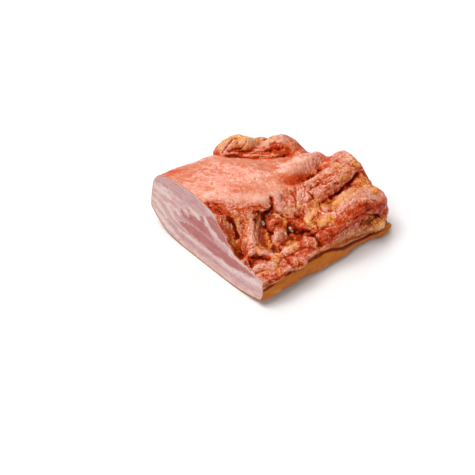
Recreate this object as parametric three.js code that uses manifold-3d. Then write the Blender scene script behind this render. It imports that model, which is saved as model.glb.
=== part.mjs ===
// Smoked pork belly: one boneless block of cured and smoked belly with its rind, cut across at one end.
// It lies on its rind. The cut end is flat and leans back a little. The smoked top is smooth over the thick
// back half, and breaks up into folds, lumps and crevices over the thin front half and at the far end.
// A loose flap of belly lies folded along the back edge.
// Millimetres. +X runs from the cut end to the far end, +Y from the thin front to the thick back, +Z is up.
import * as THREE from "three";
import { mergeVertices } from "three/addons/utils/BufferGeometryUtils.js";
import Module from "manifold-3d";

// Driving dimensions of the block.
const BLOCK_LENGTH = 184;
const BELLY_WIDTH = 174;
const CUT_LEAN = THREE.MathUtils.degToRad(8);
const RIND_BAND = 12.5;
const FRONT_BAND_GROWTH = [0.18, 0.4];
const BAND_THINNING = 0.5;
const GROOVE_DEPTH = 4.8;
const BACK_TAPER = 8;
const RIND_OUT = 4;
const FAT_OUT = 2.5;
const CORNER_RADIUS = 16;
const EDGE_ROUND = 6;
const GRID_COLUMNS = 57;
const GRID_ROWS = 44;
// Grid levels of the walls as heights above the rind, up through the groove, and the levels above those.
const LOW_LEVELS = [-6, 1, 5, 9, RIND_BAND, RIND_BAND + 1.6, RIND_BAND + 3.2, RIND_BAND + 6];
const HIGH_LEVELS = 3;

// The rind is flat where it rests, and rises towards the front edge and the back edge. The front edge rises
// most at the cut, comes down over SETTLES and lies on the table at the far front corner.
const REST_FROM = 52;
const REST_TO = 105;
const FRONT_LIFT = 7.2;
const SETTLED_SHARE = 0.3;
const SETTLES = [24, 90];
const BACK_LIFT = 19.5;
const TIP_DROP = 2.6;
const TIP_FROM = 140;

// Height of the top across the block, as [distance from the front, height]: at the cut, in the middle, and
// at the far end.
const CUT_TOP = [
  [0, 32], [20, 34.5], [32, 38], [44, 42], [52, 48], [62, 57.5], [80, 64], [95, 67.5],
  [118, 69.5], [142, 68], [155, 65.5], [166, 61], [174, 55],
];
const MIDDLE_TOP = [
  [0, 43], [12, 51], [30, 56], [50, 59], [75, 61], [100, 61.8], [118, 59], [135, 54], [155, 46], [174, 41],
];
const FAR_TOP = [
  [0, 25], [12, 33], [21, 42], [29, 54], [37, 60], [45, 64], [54, 66], [66, 64], [75, 57], [84, 49],
  [95, 43], [120, 36], [150, 32], [174, 29],
];
const CUT_TO_MIDDLE = [68, 124];
const MIDDLE_TO_FAR = [150, BLOCK_LENGTH];

// In front of this edge, [distance from the cut, distance from the front], the smooth plateau breaks off
// and the meat between the folds lies lower.
const PLATEAU_EDGE = [
  [0, 76], [11, 74], [20, 69], [32, 65], [52, 60], [66, 60],
  [78, 61], [97, 64], [124, 62], [156, 67], [184, 78],
];
const CRAG_DEPTH = 8;
const CRAG_STEP = 7;
const FOLD_ROUNDNESS = 2.6;
const FOLD_BEND = 3;
const SOFTNESS = 2.8;

const wasm = await Module();
wasm.setup();

// 0 before from, 1 after to, and smooth in between.
function ease(from, to, value) {
  return THREE.MathUtils.smoothstep(value, from, to);
}

// The height at a distance along a list of [distance, height], with rounded bends.
function heightAlong(stations, distance) {
  const last = stations.length - 1;
  let i = 0;
  while (i < last - 1 && distance > stations[i + 1][0]) i++;
  const before = stations[Math.max(i - 1, 0)];
  const [start, end] = [stations[i], stations[i + 1]];
  const after = stations[Math.min(i + 2, last)];
  const span = end[0] - start[0];
  const t = THREE.MathUtils.clamp((distance - start[0]) / span, 0, 1);
  const slopeIn = ((end[1] - before[1]) / (end[0] - before[0])) * span;
  const slopeOut = ((after[1] - start[1]) / (after[0] - start[0])) * span;
  return (
    start[1] * (1 + 2 * t) * (1 - t) ** 2 +
    slopeIn * t * (1 - t) ** 2 +
    end[1] * t * t * (3 - 2 * t) +
    slopeOut * t * t * (t - 1)
  );
}

// Height of the underside above the table.
function rindHeight(x, y) {
  const settled = 1 - (1 - SETTLED_SHARE) * ease(...SETTLES, x);
  const front = FRONT_LIFT * settled * (Math.max(REST_FROM - y, 0) / REST_FROM) ** 2;
  const back = BACK_LIFT * (Math.max(y - REST_TO, 0) / (BELLY_WIDTH - REST_TO)) ** 3;
  const tip = TIP_DROP * (Math.max(x - TIP_FROM, 0) / (BLOCK_LENGTH - TIP_FROM)) ** 2;
  return Math.max(front - tip, 0) + back;
}

// Height of the top before the folds are laid on it, with the low swells of the muscle underneath.
function bareTop(x, y) {
  const middle = ease(...CUT_TO_MIDDLE, x);
  const far = ease(...MIDDLE_TO_FAR, x);
  const near = heightAlong(CUT_TOP, y) * (1 - middle) + heightAlong(MIDDLE_TOP, y) * middle;
  const plain = near * (1 - far) + heightAlong(FAR_TOP, y) * far;
  const swell = Math.sin(x / 17 + y / 29) * Math.sin(y / 21 - x / 43);
  return plain + swell * ease(0, 25, x);
}

// Where a point lies beside a path in plan: how far away, and the height of the path there.
function besidePath(path, x, y) {
  let nearest = { away: Infinity, height: 0 };
  for (let i = 0; i + 1 < path.length; i++) {
    const [ax, ay, az = 0] = path[i];
    const [bx, by, bz = 0] = path[i + 1];
    const lengthSquared = (bx - ax) ** 2 + (by - ay) ** 2;
    const along = ((x - ax) * (bx - ax) + (y - ay) * (by - ay)) / lengthSquared;
    const t = THREE.MathUtils.clamp(along, 0, 1);
    const away = Math.hypot(x - ax - t * (bx - ax), y - ay - t * (by - ay));
    if (away < nearest.away) nearest = { away, height: az + t * (bz - az) };
  }
  return nearest;
}

// The higher of two heights, with the valley between them filled to a soft bend.
function joined(one, other, bend) {
  const near = Math.max(bend - Math.abs(one - other), 0) / bend;
  return Math.max(one, other) + (near * near * bend) / 4;
}

// Height of the top: the plateau, the lower ground beyond its edge, the folds on that and the crevices in it.
function foldedTop(x, y) {
  const beyond = ease(0, CRAG_STEP, heightAlong(PLATEAU_EDGE, x) - y);
  const farGround = ease(112, 126, x) * (1 - ease(98, 112, y)) * 0.6;
  let height = bareTop(x, y) - CRAG_DEPTH * Math.max(beyond, farGround) * ease(-4, 6, y) * ease(1, 11, x);
  for (const { path, wide, drop } of FOLDS) {
    const ripple = 1 + 0.07 * Math.sin(x / 4.1 + path[0][0]) + 0.07 * Math.sin(y / 3.7 - x / 5);
    const { away, height: crest } = besidePath(path, x, y);
    const reach = (away / wide) * ripple;
    height = joined(height, crest - drop * reach ** FOLD_ROUNDNESS, FOLD_BEND);
  }
  for (const { path, wide } of VALLEYS) {
    const { away, height: deep } = besidePath(path, x, y);
    const reach = away / wide;
    if (reach < 1) height -= deep * (1 - reach * reach) ** 2;
  }
  return height;
}

// The same with its creases softened: the mean of the height here and a little way off all around.
function topHeight(x, y) {
  let sum = 0;
  for (const stepX of [-SOFTNESS, 0, SOFTNESS]) {
    for (const stepY of [-SOFTNESS, 0, SOFTNESS]) sum += foldedTop(x + stepX, y + stepY);
  }
  return sum / 9;
}

// The rind band is taller along the front, where it comes down to the table, and thins to the far end.
function bandScale(x, y) {
  const growth = THREE.MathUtils.lerp(...FRONT_BAND_GROWTH, ease(30, 80, x));
  const front = growth * (1 - ease(20, REST_FROM, y));
  return (1 + front) * (1 - BAND_THINNING * ease(94, 150, x));
}

// How far a wall stands out at a height above the rind: rind band, groove, fat band, then meat. They are
// nearly flush at the cut and where the thick back meets it, so the cut end's outline is nearly smooth.
function wallRelief(above, x, y) {
  const flush = (0.3 + 0.7 * ease(0, 20, x)) * (1 - 0.75 * ease(90, 150, y) * (1 - ease(10, 60, x)));
  const band = RIND_OUT * ease(-6, 1.5, above);
  const grooveWidth = 2.2;
  const groove = Math.exp(-(((above - RIND_BAND - 1.5) / grooveWidth) ** 2));
  const fat = (FAT_OUT - RIND_OUT) * ease(RIND_BAND, RIND_BAND + 5, above);
  const wave = 0.9 * Math.sin((x + y) / 13) + 0.6 * Math.sin((x + y) / 5.7 + above / 9);
  return flush * (band + fat - GROOVE_DEPTH * groove) + wave;
}

// A closed mesh as a manifold-3d solid.
function solidFrom(geometry) {
  geometry.deleteAttribute("normal");
  geometry.deleteAttribute("uv");
  const merged = mergeVertices(geometry, 1e-3);
  return new wasm.Manifold(
    new wasm.Mesh({
      numProp: 3,
      vertProperties: new Float32Array(merged.attributes.position.array),
      triVerts: new Uint32Array(merged.index.array),
    }),
  );
}

// Moves every vertex of a geometry to where the function puts it.
function reshape(geometry, place) {
  const positions = geometry.attributes.position;
  const point = new THREE.Vector3();
  for (let i = 0; i < positions.count; i++) {
    point.fromBufferAttribute(positions, i);
    place(point);
    positions.setXYZ(i, point.x, point.y, point.z);
  }
  return geometry;
}

// Grid lines closer together towards one end: so much of the lines over so much of the length.
function crowd(part, linesShare, lengthShare) {
  if (part < linesShare) return (part / linesShare) * lengthShare;
  return lengthShare + ((part - linesShare) / (1 - linesShare)) * (1 - lengthShare);
}

// Height of a wall's grid level, counted from the lowest.
function levelHeight(level, bottom, top, scale) {
  const last = LOW_LEVELS.length - 1;
  if (level === 0) return bottom + LOW_LEVELS[0];
  if (level <= last) return bottom + LOW_LEVELS[level] * scale;
  const start = bottom + LOW_LEVELS[last] * scale;
  return start + (Math.max(top - start, 2) * (level - last)) / HIGH_LEVELS;
}

// The block: a fine box whose plan corners are rounded, whose top follows topHeight and whose walls
// carry the rind band, the groove and the fat band. It runs past the cut end and below the rind.
function plainBlock() {
  const spare = 14;
  const levels = LOW_LEVELS.length - 1 + HIGH_LEVELS;
  const length = BLOCK_LENGTH + spare;
  const box = new THREE.BoxGeometry(length, BELLY_WIDTH, levels, GRID_COLUMNS, GRID_ROWS, levels);
  const middle = new THREE.Vector2(BLOCK_LENGTH - length / 2, BELLY_WIDTH / 2);
  const half = new THREE.Vector2(length / 2, BELLY_WIDTH / 2);
  return reshape(box, (p) => {
    const gridY = BELLY_WIDTH * (crowd(p.y / BELLY_WIDTH + 0.5, 0.55, 0.42) - 0.5);
    const reachX = Math.max(Math.abs(p.x) - (half.x - CORNER_RADIUS), 0);
    const reachY = Math.max(Math.abs(gridY) - (half.y - CORNER_RADIUS), 0);
    const reach = Math.max(reachX, reachY);
    const round = reach > 0 ? reach / Math.hypot(reachX, reachY) : 1;
    const out = new THREE.Vector2(Math.sign(p.x) * reachX, Math.sign(gridY) * reachY);
    let x = p.x - out.x + out.x * round + middle.x;
    let y = gridY - out.y + out.y * round + middle.y;
    const inside = CORNER_RADIUS - reach;
    const edge = Math.max(1 - inside / EDGE_ROUND, 0);
    const bottom = rindHeight(x, y);
    const top = topHeight(x, y) - EDGE_ROUND * (1 - Math.sqrt(1 - edge * edge));
    const scale = bandScale(x, y);
    const z = levelHeight(Math.round(p.z + levels / 2), bottom, top, scale);
    if (reach > 0) {
      const push = wallRelief((z - bottom) / scale, x, y) * Math.max(1 - inside / CORNER_RADIUS, 0) ** 2;
      const direction = out.normalize();
      x += direction.x * push;
      y += direction.y * push;
    }
    const backHalf = Math.max(y - BELLY_WIDTH / 2, 0) / (BELLY_WIDTH / 2);
    y -= BACK_TAPER * ease(0, 80, x) * backHalf;
    p.set(x, y, z);
  });
}

// A rounded strip that follows a path: a capsule bent along it, wide across and thick upwards.
// Its surface swells and pinches a little, and its ends may taper.
function strip({ path, wide, thick, taper = 0.25, sides = 10, wobble = 0.1 }) {
  const curve = new THREE.CatmullRomCurve3(path.map(([x, y, z]) => new THREE.Vector3(x, y, z)));
  const along = Math.max(Math.round(curve.getLength() / 8), 2);
  const capsule = new THREE.CapsuleGeometry(1, 2, 3, sides, along);
  const phase = path[0][0] * 0.7 + path[0][1];
  const up = new THREE.Vector3(0, 0, 1);
  return reshape(capsule, (p) => {
    const t = THREE.MathUtils.clamp((p.y + 1) / 2, 0, 1);
    const cap = p.y - THREE.MathUtils.clamp(p.y, -1, 1);
    const tangent = curve.getTangent(t);
    const across = new THREE.Vector3().crossVectors(tangent, up).normalize();
    const rise = new THREE.Vector3().crossVectors(across, tangent);
    const turn = Math.atan2(p.z, p.x);
    const swell = 1 + wobble * Math.sin(2 * turn + phase + 5 * t) + wobble * Math.sin(3 * turn - 7 * t);
    const slim = 1 - taper * Math.abs(2 * t - 1) ** 2;
    const centre = curve.getPoint(t);
    centre.addScaledVector(across, p.x * wide * swell * slim);
    centre.addScaledVector(rise, p.z * thick * swell * slim);
    centre.addScaledVector(tangent, cap * Math.min(wide, thick) * slim);
    p.copy(centre);
  });
}

// Folds of the top. Each has its crest along a path, falls off to both sides within its width, and is one
// of: the lumps over the front half, the folds that run on to the far end, and the band of the far end.
const FOLDS = [
  { path: [[42, 63, 56], [33, 51, 48], [26, 41, 42], [20, 33, 39]], wide: 9, drop: 9 },
  { path: [[12, 33, 39], [23, 34, 40], [32, 26, 38], [34, 14, 34]], wide: 8, drop: 7 },
  { path: [[4, 18, 35], [18, 16, 35], [25, 9, 33]], wide: 8, drop: 6 },
  { path: [[8, 5, 32], [21, 2, 31], [36, 2, 31]], wide: 8, drop: 6 },
  { path: [[56, 50, 48], [63, 49, 47], [69, 45, 43]], wide: 9, drop: 9 },
  { path: [[70, 42, 41], [56, 36, 40], [41, 31, 38]], wide: 6, drop: 6 },
  { path: [[36, 16, 35], [50, 17, 35], [65, 16, 35]], wide: 11, drop: 9 },
  { path: [[37, 7, 32], [48, 3, 32], [62, 3, 32]], wide: 9, drop: 8 },
  { path: [[69, 13, 35], [80, 12, 37]], wide: 12, drop: 10 },
  { path: [[75, 39, 41], [81, 31, 41], [88, 20, 40]], wide: 7, drop: 8 },
  { path: [[86, 9, 38], [97, 8, 41], [108, 6, 43]], wide: 10, drop: 9 },
  { path: [[103, 41, 52], [97, 31, 48], [88, 27, 43]], wide: 8, drop: 8 },
  { path: [[110, 26, 53], [106, 17, 49], [96, 14, 43]], wide: 8, drop: 8 },
  { path: [[98, 64, 59], [92, 53, 54], [84, 46, 47]], wide: 7, drop: 7 },
  { path: [[114, 64, 60], [105, 54, 58], [94, 48, 51]], wide: 6, drop: 6 },
  { path: [[118, 55, 60], [108, 47, 57], [99, 42, 51]], wide: 6, drop: 6 },
  { path: [[73, 58, 55], [81, 53, 51], [81, 45, 45]], wide: 8, drop: 8 },
  { path: [[96, 92, 60], [112, 91, 64], [131, 87, 67], [146, 84, 67], [156, 83, 63]], wide: 21, drop: 15 },
  { path: [[116, 42, 56], [128, 43, 60], [142, 43, 62], [160, 44, 62], [178, 45, 64]], wide: 10, drop: 7 },
  { path: [[114, 58, 60], [130, 58, 62], [146, 58, 63], [164, 57, 64], [180, 56, 67]], wide: 12, drop: 6 },
  { path: [[156, 70, 60], [168, 68, 64], [180, 65, 67]], wide: 12, drop: 8 },
  { path: [[110, 14, 49], [122, 16, 53], [138, 18, 56], [156, 18, 54], [170, 19, 48]], wide: 21, drop: 12 },
];

// Crevices between them that are open enough to see into, and the wide bed under the flap.
// Each point of a valley's path gives its depth there.
const VALLEYS = [
  { path: [[21, 67, 9], [18, 57, 11], [14, 45, 11], [9, 36, 6]], wide: 6 },
  { path: [[46, 58, 4], [54, 56, 8], [64, 56, 9], [72, 60, 6]], wide: 6 },
  { path: [[53, 56, 6], [49, 48, 9], [44, 38, 9], [40, 27, 5]], wide: 6 },
  { path: [[73, 33, 6], [74, 25, 10], [80, 19, 10], [88, 14, 4]], wide: 6 },
  { path: [[104, 33, 2], [114, 33, 8], [125, 33, 10], [144, 34, 11], [163, 36, 9], [180, 38, 5]], wide: 8 },
  { path: [[92, 78, 0], [102, 73, 4], [112, 70, 9], [126, 69, 10], [142, 71, 9], [166, 78, 9]], wide: 9 },
  { path: [[88, 156, 6], [99, 148, 6], [112, 138, 6], [126, 126, 6], [142, 115, 6]], wide: 14 },
];

// Rolled folds that overhang what lies under them: the lumps over the front fat band, the long fold of the
// far front shoulder with the knob under its end, the rolls of the far end and the flap along the back edge.
const FRONT_ROLLS = [
  { path: [[10, 4, 26], [21, 2, 26], [33, 3, 26]], wide: 7, thick: 6 },
  { path: [[37, 5, 27], [49, 3, 26], [63, 4, 27]], wide: 9, thick: 7 },
  { path: [[67, 11, 29], [80, 9, 31]], wide: 11, thick: 9 },
  { path: [[85, 8, 33], [97, 7, 35], [109, 6, 38]], wide: 9, thick: 8 },
  {
    path: [[106, 9, 39], [126, 8, 43], [147, 8, 44], [162, 9, 39], [172, 9, 33], [177, 6, 26]],
    wide: 13,
    thick: 10,
    sides: 14,
  },
];
const FAR_ROLLS = [
  { path: [[150, 1, 20], [160, -2, 21], [171, -1, 20]], wide: 8, thick: 8, sides: 12 },
  { path: [[155, 0, 5], [169, -3, 5], [180, -2, 5]], wide: 6, thick: 6 },
  { path: [[173, 20, 32], [175, 40, 40], [173, 62, 47], [170, 82, 46]], wide: 11, thick: 12 },
  { path: [[176, 92, 31], [176, 116, 26], [168, 138, 24]], wide: 11, thick: 11 },
];
const FLAP = [
  { path: [[86.5, 161, 47], [97.5, 160, 57.5], [110, 155, 59], [121, 147, 52]], wide: 13, thick: 10.5, sides: 14 },
  { path: [[127, 141, 42], [137, 133, 54], [145, 126, 59.5], [157, 112, 48]], wide: 14, thick: 12, sides: 14 },
  { path: [[104, 145, 51], [120, 135, 52], [138, 121, 54]], wide: 9, thick: 7 },
  { path: [[92, 160, 44], [114, 157, 46], [136, 145, 43], [156, 130, 40]], wide: 15, thick: 13, sides: 12 },
];
const LIP = [{ path: [[38, 69, 54], [51, 67, 53], [63, 65, 52], [72, 67, 53]], wide: 9, thick: 5 }];

// Narrow crevices cut in under the folds.
const CREVICES = [
  { path: [[20, 66, 56], [17, 56, 48], [14, 46, 40]], wide: 3, thick: 8 },
  { path: [[42, 58, 50], [53, 57, 48], [63, 56, 48], [72, 60, 52]], wide: 3.5, thick: 6 },
  { path: [[112, 33, 51], [125, 31, 52], [144, 33, 54], [163, 37, 54]], wide: 3, thick: 8 },
];

// Everything below the rind, as a slab whose top is the rind's own curve.
function tableBelowRind() {
  const margin = 30;
  const depth = 40;
  const sizeX = BLOCK_LENGTH + 2 * margin;
  const sizeY = BELLY_WIDTH + 2 * margin;
  const slab = new THREE.BoxGeometry(sizeX, sizeY, depth, 12, 30, 1);
  return reshape(slab, (p) => {
    const x = p.x + BLOCK_LENGTH / 2;
    const y = p.y + BELLY_WIDTH / 2;
    p.set(x, y, p.z > 0 ? rindHeight(x, y) : -depth);
  });
}

// Everything in front of the knife's cut, which leans back by CUT_LEAN.
function beyondTheCut() {
  const size = 400;
  const box = new THREE.BoxGeometry(size, size, size);
  box.translate(-size / 2, 0, 0);
  box.rotateY(CUT_LEAN);
  return box;
}

function belly() {
  const added = [...FRONT_ROLLS, ...FAR_ROLLS, ...FLAP, ...LIP];
  let solid = solidFrom(plainBlock());
  for (const fold of added) solid = solid.add(solidFrom(strip(fold)));
  for (const crevice of CREVICES) {
    solid = solid.subtract(solidFrom(strip({ sides: 8, taper: 0.5, ...crevice })));
  }
  solid = solid.subtract(solidFrom(tableBelowRind()));
  solid = solid.subtract(solidFrom(beyondTheCut()));
  return solid;
}

// The solid's mesh as a three.js geometry.
function geometryOf(solid) {
  const mesh = solid.getMesh();
  const geometry = new THREE.BufferGeometry();
  geometry.setAttribute("position", new THREE.BufferAttribute(mesh.vertProperties, 3));
  geometry.setIndex(new THREE.BufferAttribute(mesh.triVerts, 1));
  geometry.computeVertexNormals();
  geometry.computeBoundingBox();
  return geometry;
}

const smokedMeat = new THREE.MeshStandardMaterial({ color: "#c4623c", roughness: 0.5, metalness: 0 });
const porkBelly = new THREE.Mesh(geometryOf(belly()), smokedMeat);
porkBelly.name = "pork_belly";

// The block stands with the middle of its box over the origin.
const { min, max } = porkBelly.geometry.boundingBox;
porkBelly.position.set(-(min.x + max.x) / 2, -(min.y + max.y) / 2, 0);

const group = new THREE.Group();
group.add(porkBelly);
export default group;
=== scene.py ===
"""Smoked pork belly: one block of cured, smoked belly on its rind, cut across at one end.

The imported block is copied, made fine, and its folds, creases and rind are sculpted. Its cut end is sliced
flat again and marbled. Sizes in the lists are millimetres in the block's own measure: x from the cut end to
the far end, y from the thin front to the thick back, z up from the table.
"""

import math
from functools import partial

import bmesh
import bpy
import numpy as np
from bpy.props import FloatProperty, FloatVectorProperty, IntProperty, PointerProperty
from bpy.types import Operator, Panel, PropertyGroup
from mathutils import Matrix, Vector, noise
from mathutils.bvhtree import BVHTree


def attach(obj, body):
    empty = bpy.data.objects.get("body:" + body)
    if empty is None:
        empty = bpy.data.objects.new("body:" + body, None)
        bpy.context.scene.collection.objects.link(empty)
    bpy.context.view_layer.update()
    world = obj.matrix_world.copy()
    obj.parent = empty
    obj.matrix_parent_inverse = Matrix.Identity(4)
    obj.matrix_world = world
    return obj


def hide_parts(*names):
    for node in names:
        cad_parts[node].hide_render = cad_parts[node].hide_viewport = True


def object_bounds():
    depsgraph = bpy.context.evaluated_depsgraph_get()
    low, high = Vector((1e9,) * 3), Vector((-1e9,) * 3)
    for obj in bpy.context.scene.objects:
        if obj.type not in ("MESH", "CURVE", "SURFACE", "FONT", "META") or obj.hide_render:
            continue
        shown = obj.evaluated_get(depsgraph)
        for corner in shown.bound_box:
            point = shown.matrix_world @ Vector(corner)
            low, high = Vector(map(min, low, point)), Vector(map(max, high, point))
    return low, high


bl_info = {
    "name": "Smoked Pork Belly",
    "version": (1, 0, 0),
    "blender": (4, 5, 0),
    "location": "3D View > Sidebar > Pork Belly",
    "description": "Sculpts and colours a block of smoked pork belly and sets it on a pale table",
    "category": "Object",
}

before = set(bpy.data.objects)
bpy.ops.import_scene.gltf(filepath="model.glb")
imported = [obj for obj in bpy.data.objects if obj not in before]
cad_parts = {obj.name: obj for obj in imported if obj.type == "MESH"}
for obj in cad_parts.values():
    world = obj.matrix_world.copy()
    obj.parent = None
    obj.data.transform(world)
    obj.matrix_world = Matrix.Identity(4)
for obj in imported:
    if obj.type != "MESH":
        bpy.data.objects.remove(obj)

CAD_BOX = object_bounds()
CAD_NODE = "pork_belly"
MM = 0.001

# The block's own measure starts at the foot of the cut, in the plane of the plain front. The folds of the
# front stand this far out of that plane.
FRONT_STANDS_OUT = 10.945
BLOCK_START = np.array([CAD_BOX[0].x / MM, CAD_BOX[0].y / MM + FRONT_STANDS_OUT, 0.0])
BLOCK_LENGTH = 184.0
BELLY_WIDTH = 174.0

# The knife's cut leans back from the foot. The block is made this much longer before it is sliced there.
CUT_LEAN = math.radians(8)
INTO_BLOCK = Vector((math.cos(CUT_LEAN), 0, -math.sin(CUT_LEAN)))
CUT_SPARE = 6.0
# What lies in the plane of the cut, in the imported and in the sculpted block, and the cut face by its outline.
NEAR_CUT, ON_CUT, FACES_OUT, RIM_CORNERS = 0.05, 0.02, -0.99, 50
WELD = 0.01 * MM
# The meat is softened from this far over the rind band. The underside is thinned where it faces down, from
# this far behind the cut.
SOFT_OVER = 2
THINNED_UNDER, THINNED_FROM = -0.75, 3

# The rind rests on the table between these distances from the front and rises to both long edges.
# The front edge comes down over SETTLES from the cut and lies on the table at the far front corner.
REST_FROM, REST_TO = 52.0, 105.0
FRONT_LIFT, BACK_LIFT = 7.2, 19.5
SETTLES, SETTLED_SHARE = (24.0, 90.0), 0.3
TIP_DROP, TIP_FROM = 2.6, 140.0

# The rind band is this high. Along the front it is taller by a share at the cut and one more over BAND_GROWS,
# and over BAND_THINS it gets thinner by a share.
RIND_BAND = 12.5
CUT_GROWTH, MORE_GROWTH, BAND_GROWS = 0.18, 0.22, (30, 80)
BAND_THINNING, BAND_THINS = 0.5, (94, 150)

# How the camera sees the block, in its own measure. The strokes below are drawn over that view, in points
# across and down a square picture, and dropped on the block from there.
VIEW_TARGET = np.array([52.63, 92.73, 0.0])
VIEW_TURN, VIEW_RISE = math.radians(-41), math.radians(40)
VIEW_DISTANCE = 1000.0
LENS, SENSOR = 72.0, 36.0
PICTURE = 475
OUTLINE_REACH, OUTLINE_STEP, OUTLINE_TURNS = 8, 0.5, 16

# The dark line over the rind band, as heights over the rind, and how far above it the fat band reaches:
# (from the cut, height) along the front side, and the height round the back. The line runs lower at the cut
# and past the middle of the front.
LINE_FOOT, LINE_TOP = 12.4, 13.7
FAT_BAND_TOP = (
    (0, 2), (30, 2), (50, 4), (70, 5), (88, 7), (105, 10), (130, 14), (150, 13), (165, 7), (184, 5),
)
BACK_FAT_TOP = 8.0
FRONT_SIDE = (20, 60)
LINE_DROPS, CUT_LINE_RISES, CUT_DROP = (85, 118), (5, 30), 0.7
FOOT_DROP, TOP_DROP = 4.4, 2.6
# How soft the edges of the rind, the line and the fat band are, and how far they wander up and down.
RIND_EDGE, LINE_EDGE, FAT_EDGE = (-0.5, 0.5), (-0.8, 0.8), (-2.5, 2.5)
FOOT_RAGGED, TOP_RAGGED, FAT_RAGGED = 0.5, 1.6, 3

# Where the meat is broken up into folds: across the edge of the smooth top, along and across the far top,
# round the flap behind its slanting fold, and down the back and the far end, with how much each is broken up.
EDGE_FADES = (-7, 5)
FAR_TOP_ALONG, FAR_TOP_ACROSS, FAR_TOP_BREAK = (108, 124), (98, 112), 0.75
FLAP_RISES, FLAP_FOLD, FLAP_SLANT, FLAP_FADES, FLAP_BREAK = (40, 47), 215, 0.75, (-6, 8), 0.8
BACK_FROM, BACK_NEARER, BACK_COMES, BACK_TOP = (150, 168), 4, (0, 80), (54, 62)
END_FROM, SIDE_BREAK = (172, 180), 0.7
MUSCLE_FADES, MUSCLE_CALM = (13, 21), 0.75
# The back side and the far end, which are smoother and smoked a little darker.
BACK_EDGE, BACK_SLANT, BACK_FADES = 150, 0.2, (-5, 8)
FACES_FAR, FAR_END = (0.2, 0.8), (150, 175)
# Where a side turns into the underside, by how far down it faces, for the relief and for the rind's colour.
TURNED_UNDER = (-0.55, -0.85)
RIND_UNDER, RIND_UNDER_TO = (-0.5, -0.8), (1.0, 3.0)

# How strokes fade over their half width, and the depth of what lies in no layer of the cut.
STROKE_FADE, STROKE_REACH, NO_LAYER = 0.7, 3, -20.0

# The seed of the noise, what tells two patterns of it apart, and how steep and how round the creases between
# pillows are.
NOISE_SEED = 7
SEED_STEP = np.array([17.3, 5.1, 9.7])
PILLOW_STEEP, PILLOW_ROUND = 2.3, 0.13

# Pattern sizes, in millimetres across one lump. The sculpted ones:
PILLOW, CRUMPLE, WRINKLE, STRIPE = 11, 5.0, 3.6, 3.6
TOP_WAVE, TOP_DIMPLE, PIT = 17, 5, 3.4
RIND_LUMP, RIND_LAYER, UNDER_LUMP = (9, 9, 4), (12, 12, 1.6), 8
PATCH, BLOT, STRAY_FAT, RAGGED_EDGE = 24, 8, 11, (7, 7, 3)
# The ones in the materials. Skin and meat have a grain of some tenths of a millimetre, which is too fine to
# show, so it is drawn as GRAIN.
MOTTLE, FINE_CRUMPLE, FINE_WRINKLE, SPECKLE, GRAIN = 9, 4.4, 3.6, 2.4, 1.2
STREAK, STREAK_STRETCH, MARBLING = 2.6, 0.25, 4.5

# Relief of the folds, in shares of the fold relief: the roundness of the lumps of the front, the pillows, the
# crumple, the wrinkles along the crests, and the seams half way between two crests.
BULGE, BULGE_REACH, BULGE_FROM = 0.6, 8.0, (4, 18)
LUMPY_ALONG, LUMPY_ACROSS = (100, 116), (70, 80)
PILLOW_DEPTH, CRUMPLE_DEPTH, WRINKLE_DEPTH = 0.7, 0.22, 0.2
SEAM_DEPTH, LUMP_SEAM_DEPTH, SEAM_WIDTH, SEAM_FROM, SEAM_TO = 0.3, 0.6, 1.9, (3, 6), (20, 26)
# Relief of the rest, in millimetres: waves, dimples and pits of the smooth top, lumps and layers of the rind
# band, lumps of the underside off the table, and the stripes across the muscle.
WAVE_HEIGHT, DIMPLE_HEIGHT = 0.8, 0.2
PIT_DEPTH, PIT_SHARE, PITS_FROM = 3.0, 0.62, (60, 110)
RIND_LUMP_HEIGHT, RIND_LAYER_HEIGHT, BAND_FADE = 0.3, 0.15, 3
UNDER_HEIGHT, UNDER_FROM, OFF_TABLE = 0.25, (0.6, 3), (0.3, 1.5)
STRIPE_DEPTH, STRIPE_LENGTH, STRIPE_FADES, STRIPES_FROM = 0.35, 7, (13, 20), (105, 120)
# The groove over the rind band: how far over it, how far it drops with the line, and how wide and deep the
# swelling beside it and the groove itself are.
GROOVE_OVER, GROOVE_DROP = 0.9, 2.8
SWELL_OVER, SWELL_WIDTH, SWELL_HEIGHT = 0.6, 3.0, 1.1
GROOVE_WIDTH, GROOVE_DEPTH, GROOVE_FROM = 0.9, 1.6, (0, 12)

# How dark the crust is, from 0, pale, to 1, black: smoked everywhere, more where it is broken up, in patches
# and blots, in dark stains, and on the back side and the far end; with painted shade in creases, under
# overhangs and down the valleys, and painted sheen and light in pale spots and along the crests.
SMOKE, BROKEN_SMOKE, PATCH_SMOKE, BLOT_SMOKE = 0.26, 0.08, 0.10, 0.10
STAIN_AND_SHADE, PALE_AND_SHEEN, VALLEY_SHADE, OUTER_SMOKE = 0.50, 0.3, 0.12, 0.22
VALLEY, TOP_PATCHES, STAIN_AND_SHADE_EVEN, STAIN_AND_SHADE_BLOTS = (1.5, 8), 0.4, 0.85, 0.4
# Stray rendered fat, with less of it in the dark stains and painted shade and on the outer sides.
STRAY_FROM, STRAY_SHARE, STAIN_AND_SHADE_LESS, OUTER_LESS = (0.15, 0.6), 0.4, 0.8, 0.5
# How crumpled the skin is on the smooth top, and how much less on the outer sides.
TOP_CRUMPLED, OUTER_SMOOTHER = 0.35, 0.75
# How hollow a place is, for painted shade in the hollows, painted light on the bumps and rougher hollows:
# rounds of averaging its surroundings, and their share.
HOLLOWS, HOLLOW_RANGE = ((3, 0.5), (14, 0.6), (70, 0.3)), (-1, 1.6)
# Near the rind a point of the cut counts as nearer to the cut's rim by this share, so the rim is drawn thicker
# there: brown skin together with painted shadow along the cut's bottom edge.
THICK_RIM_AND_SHADOW, THICK_RIM_AND_SHADOW_TO, FAR_FROM_RIM = 0.45, (3, 6), 30.0

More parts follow.
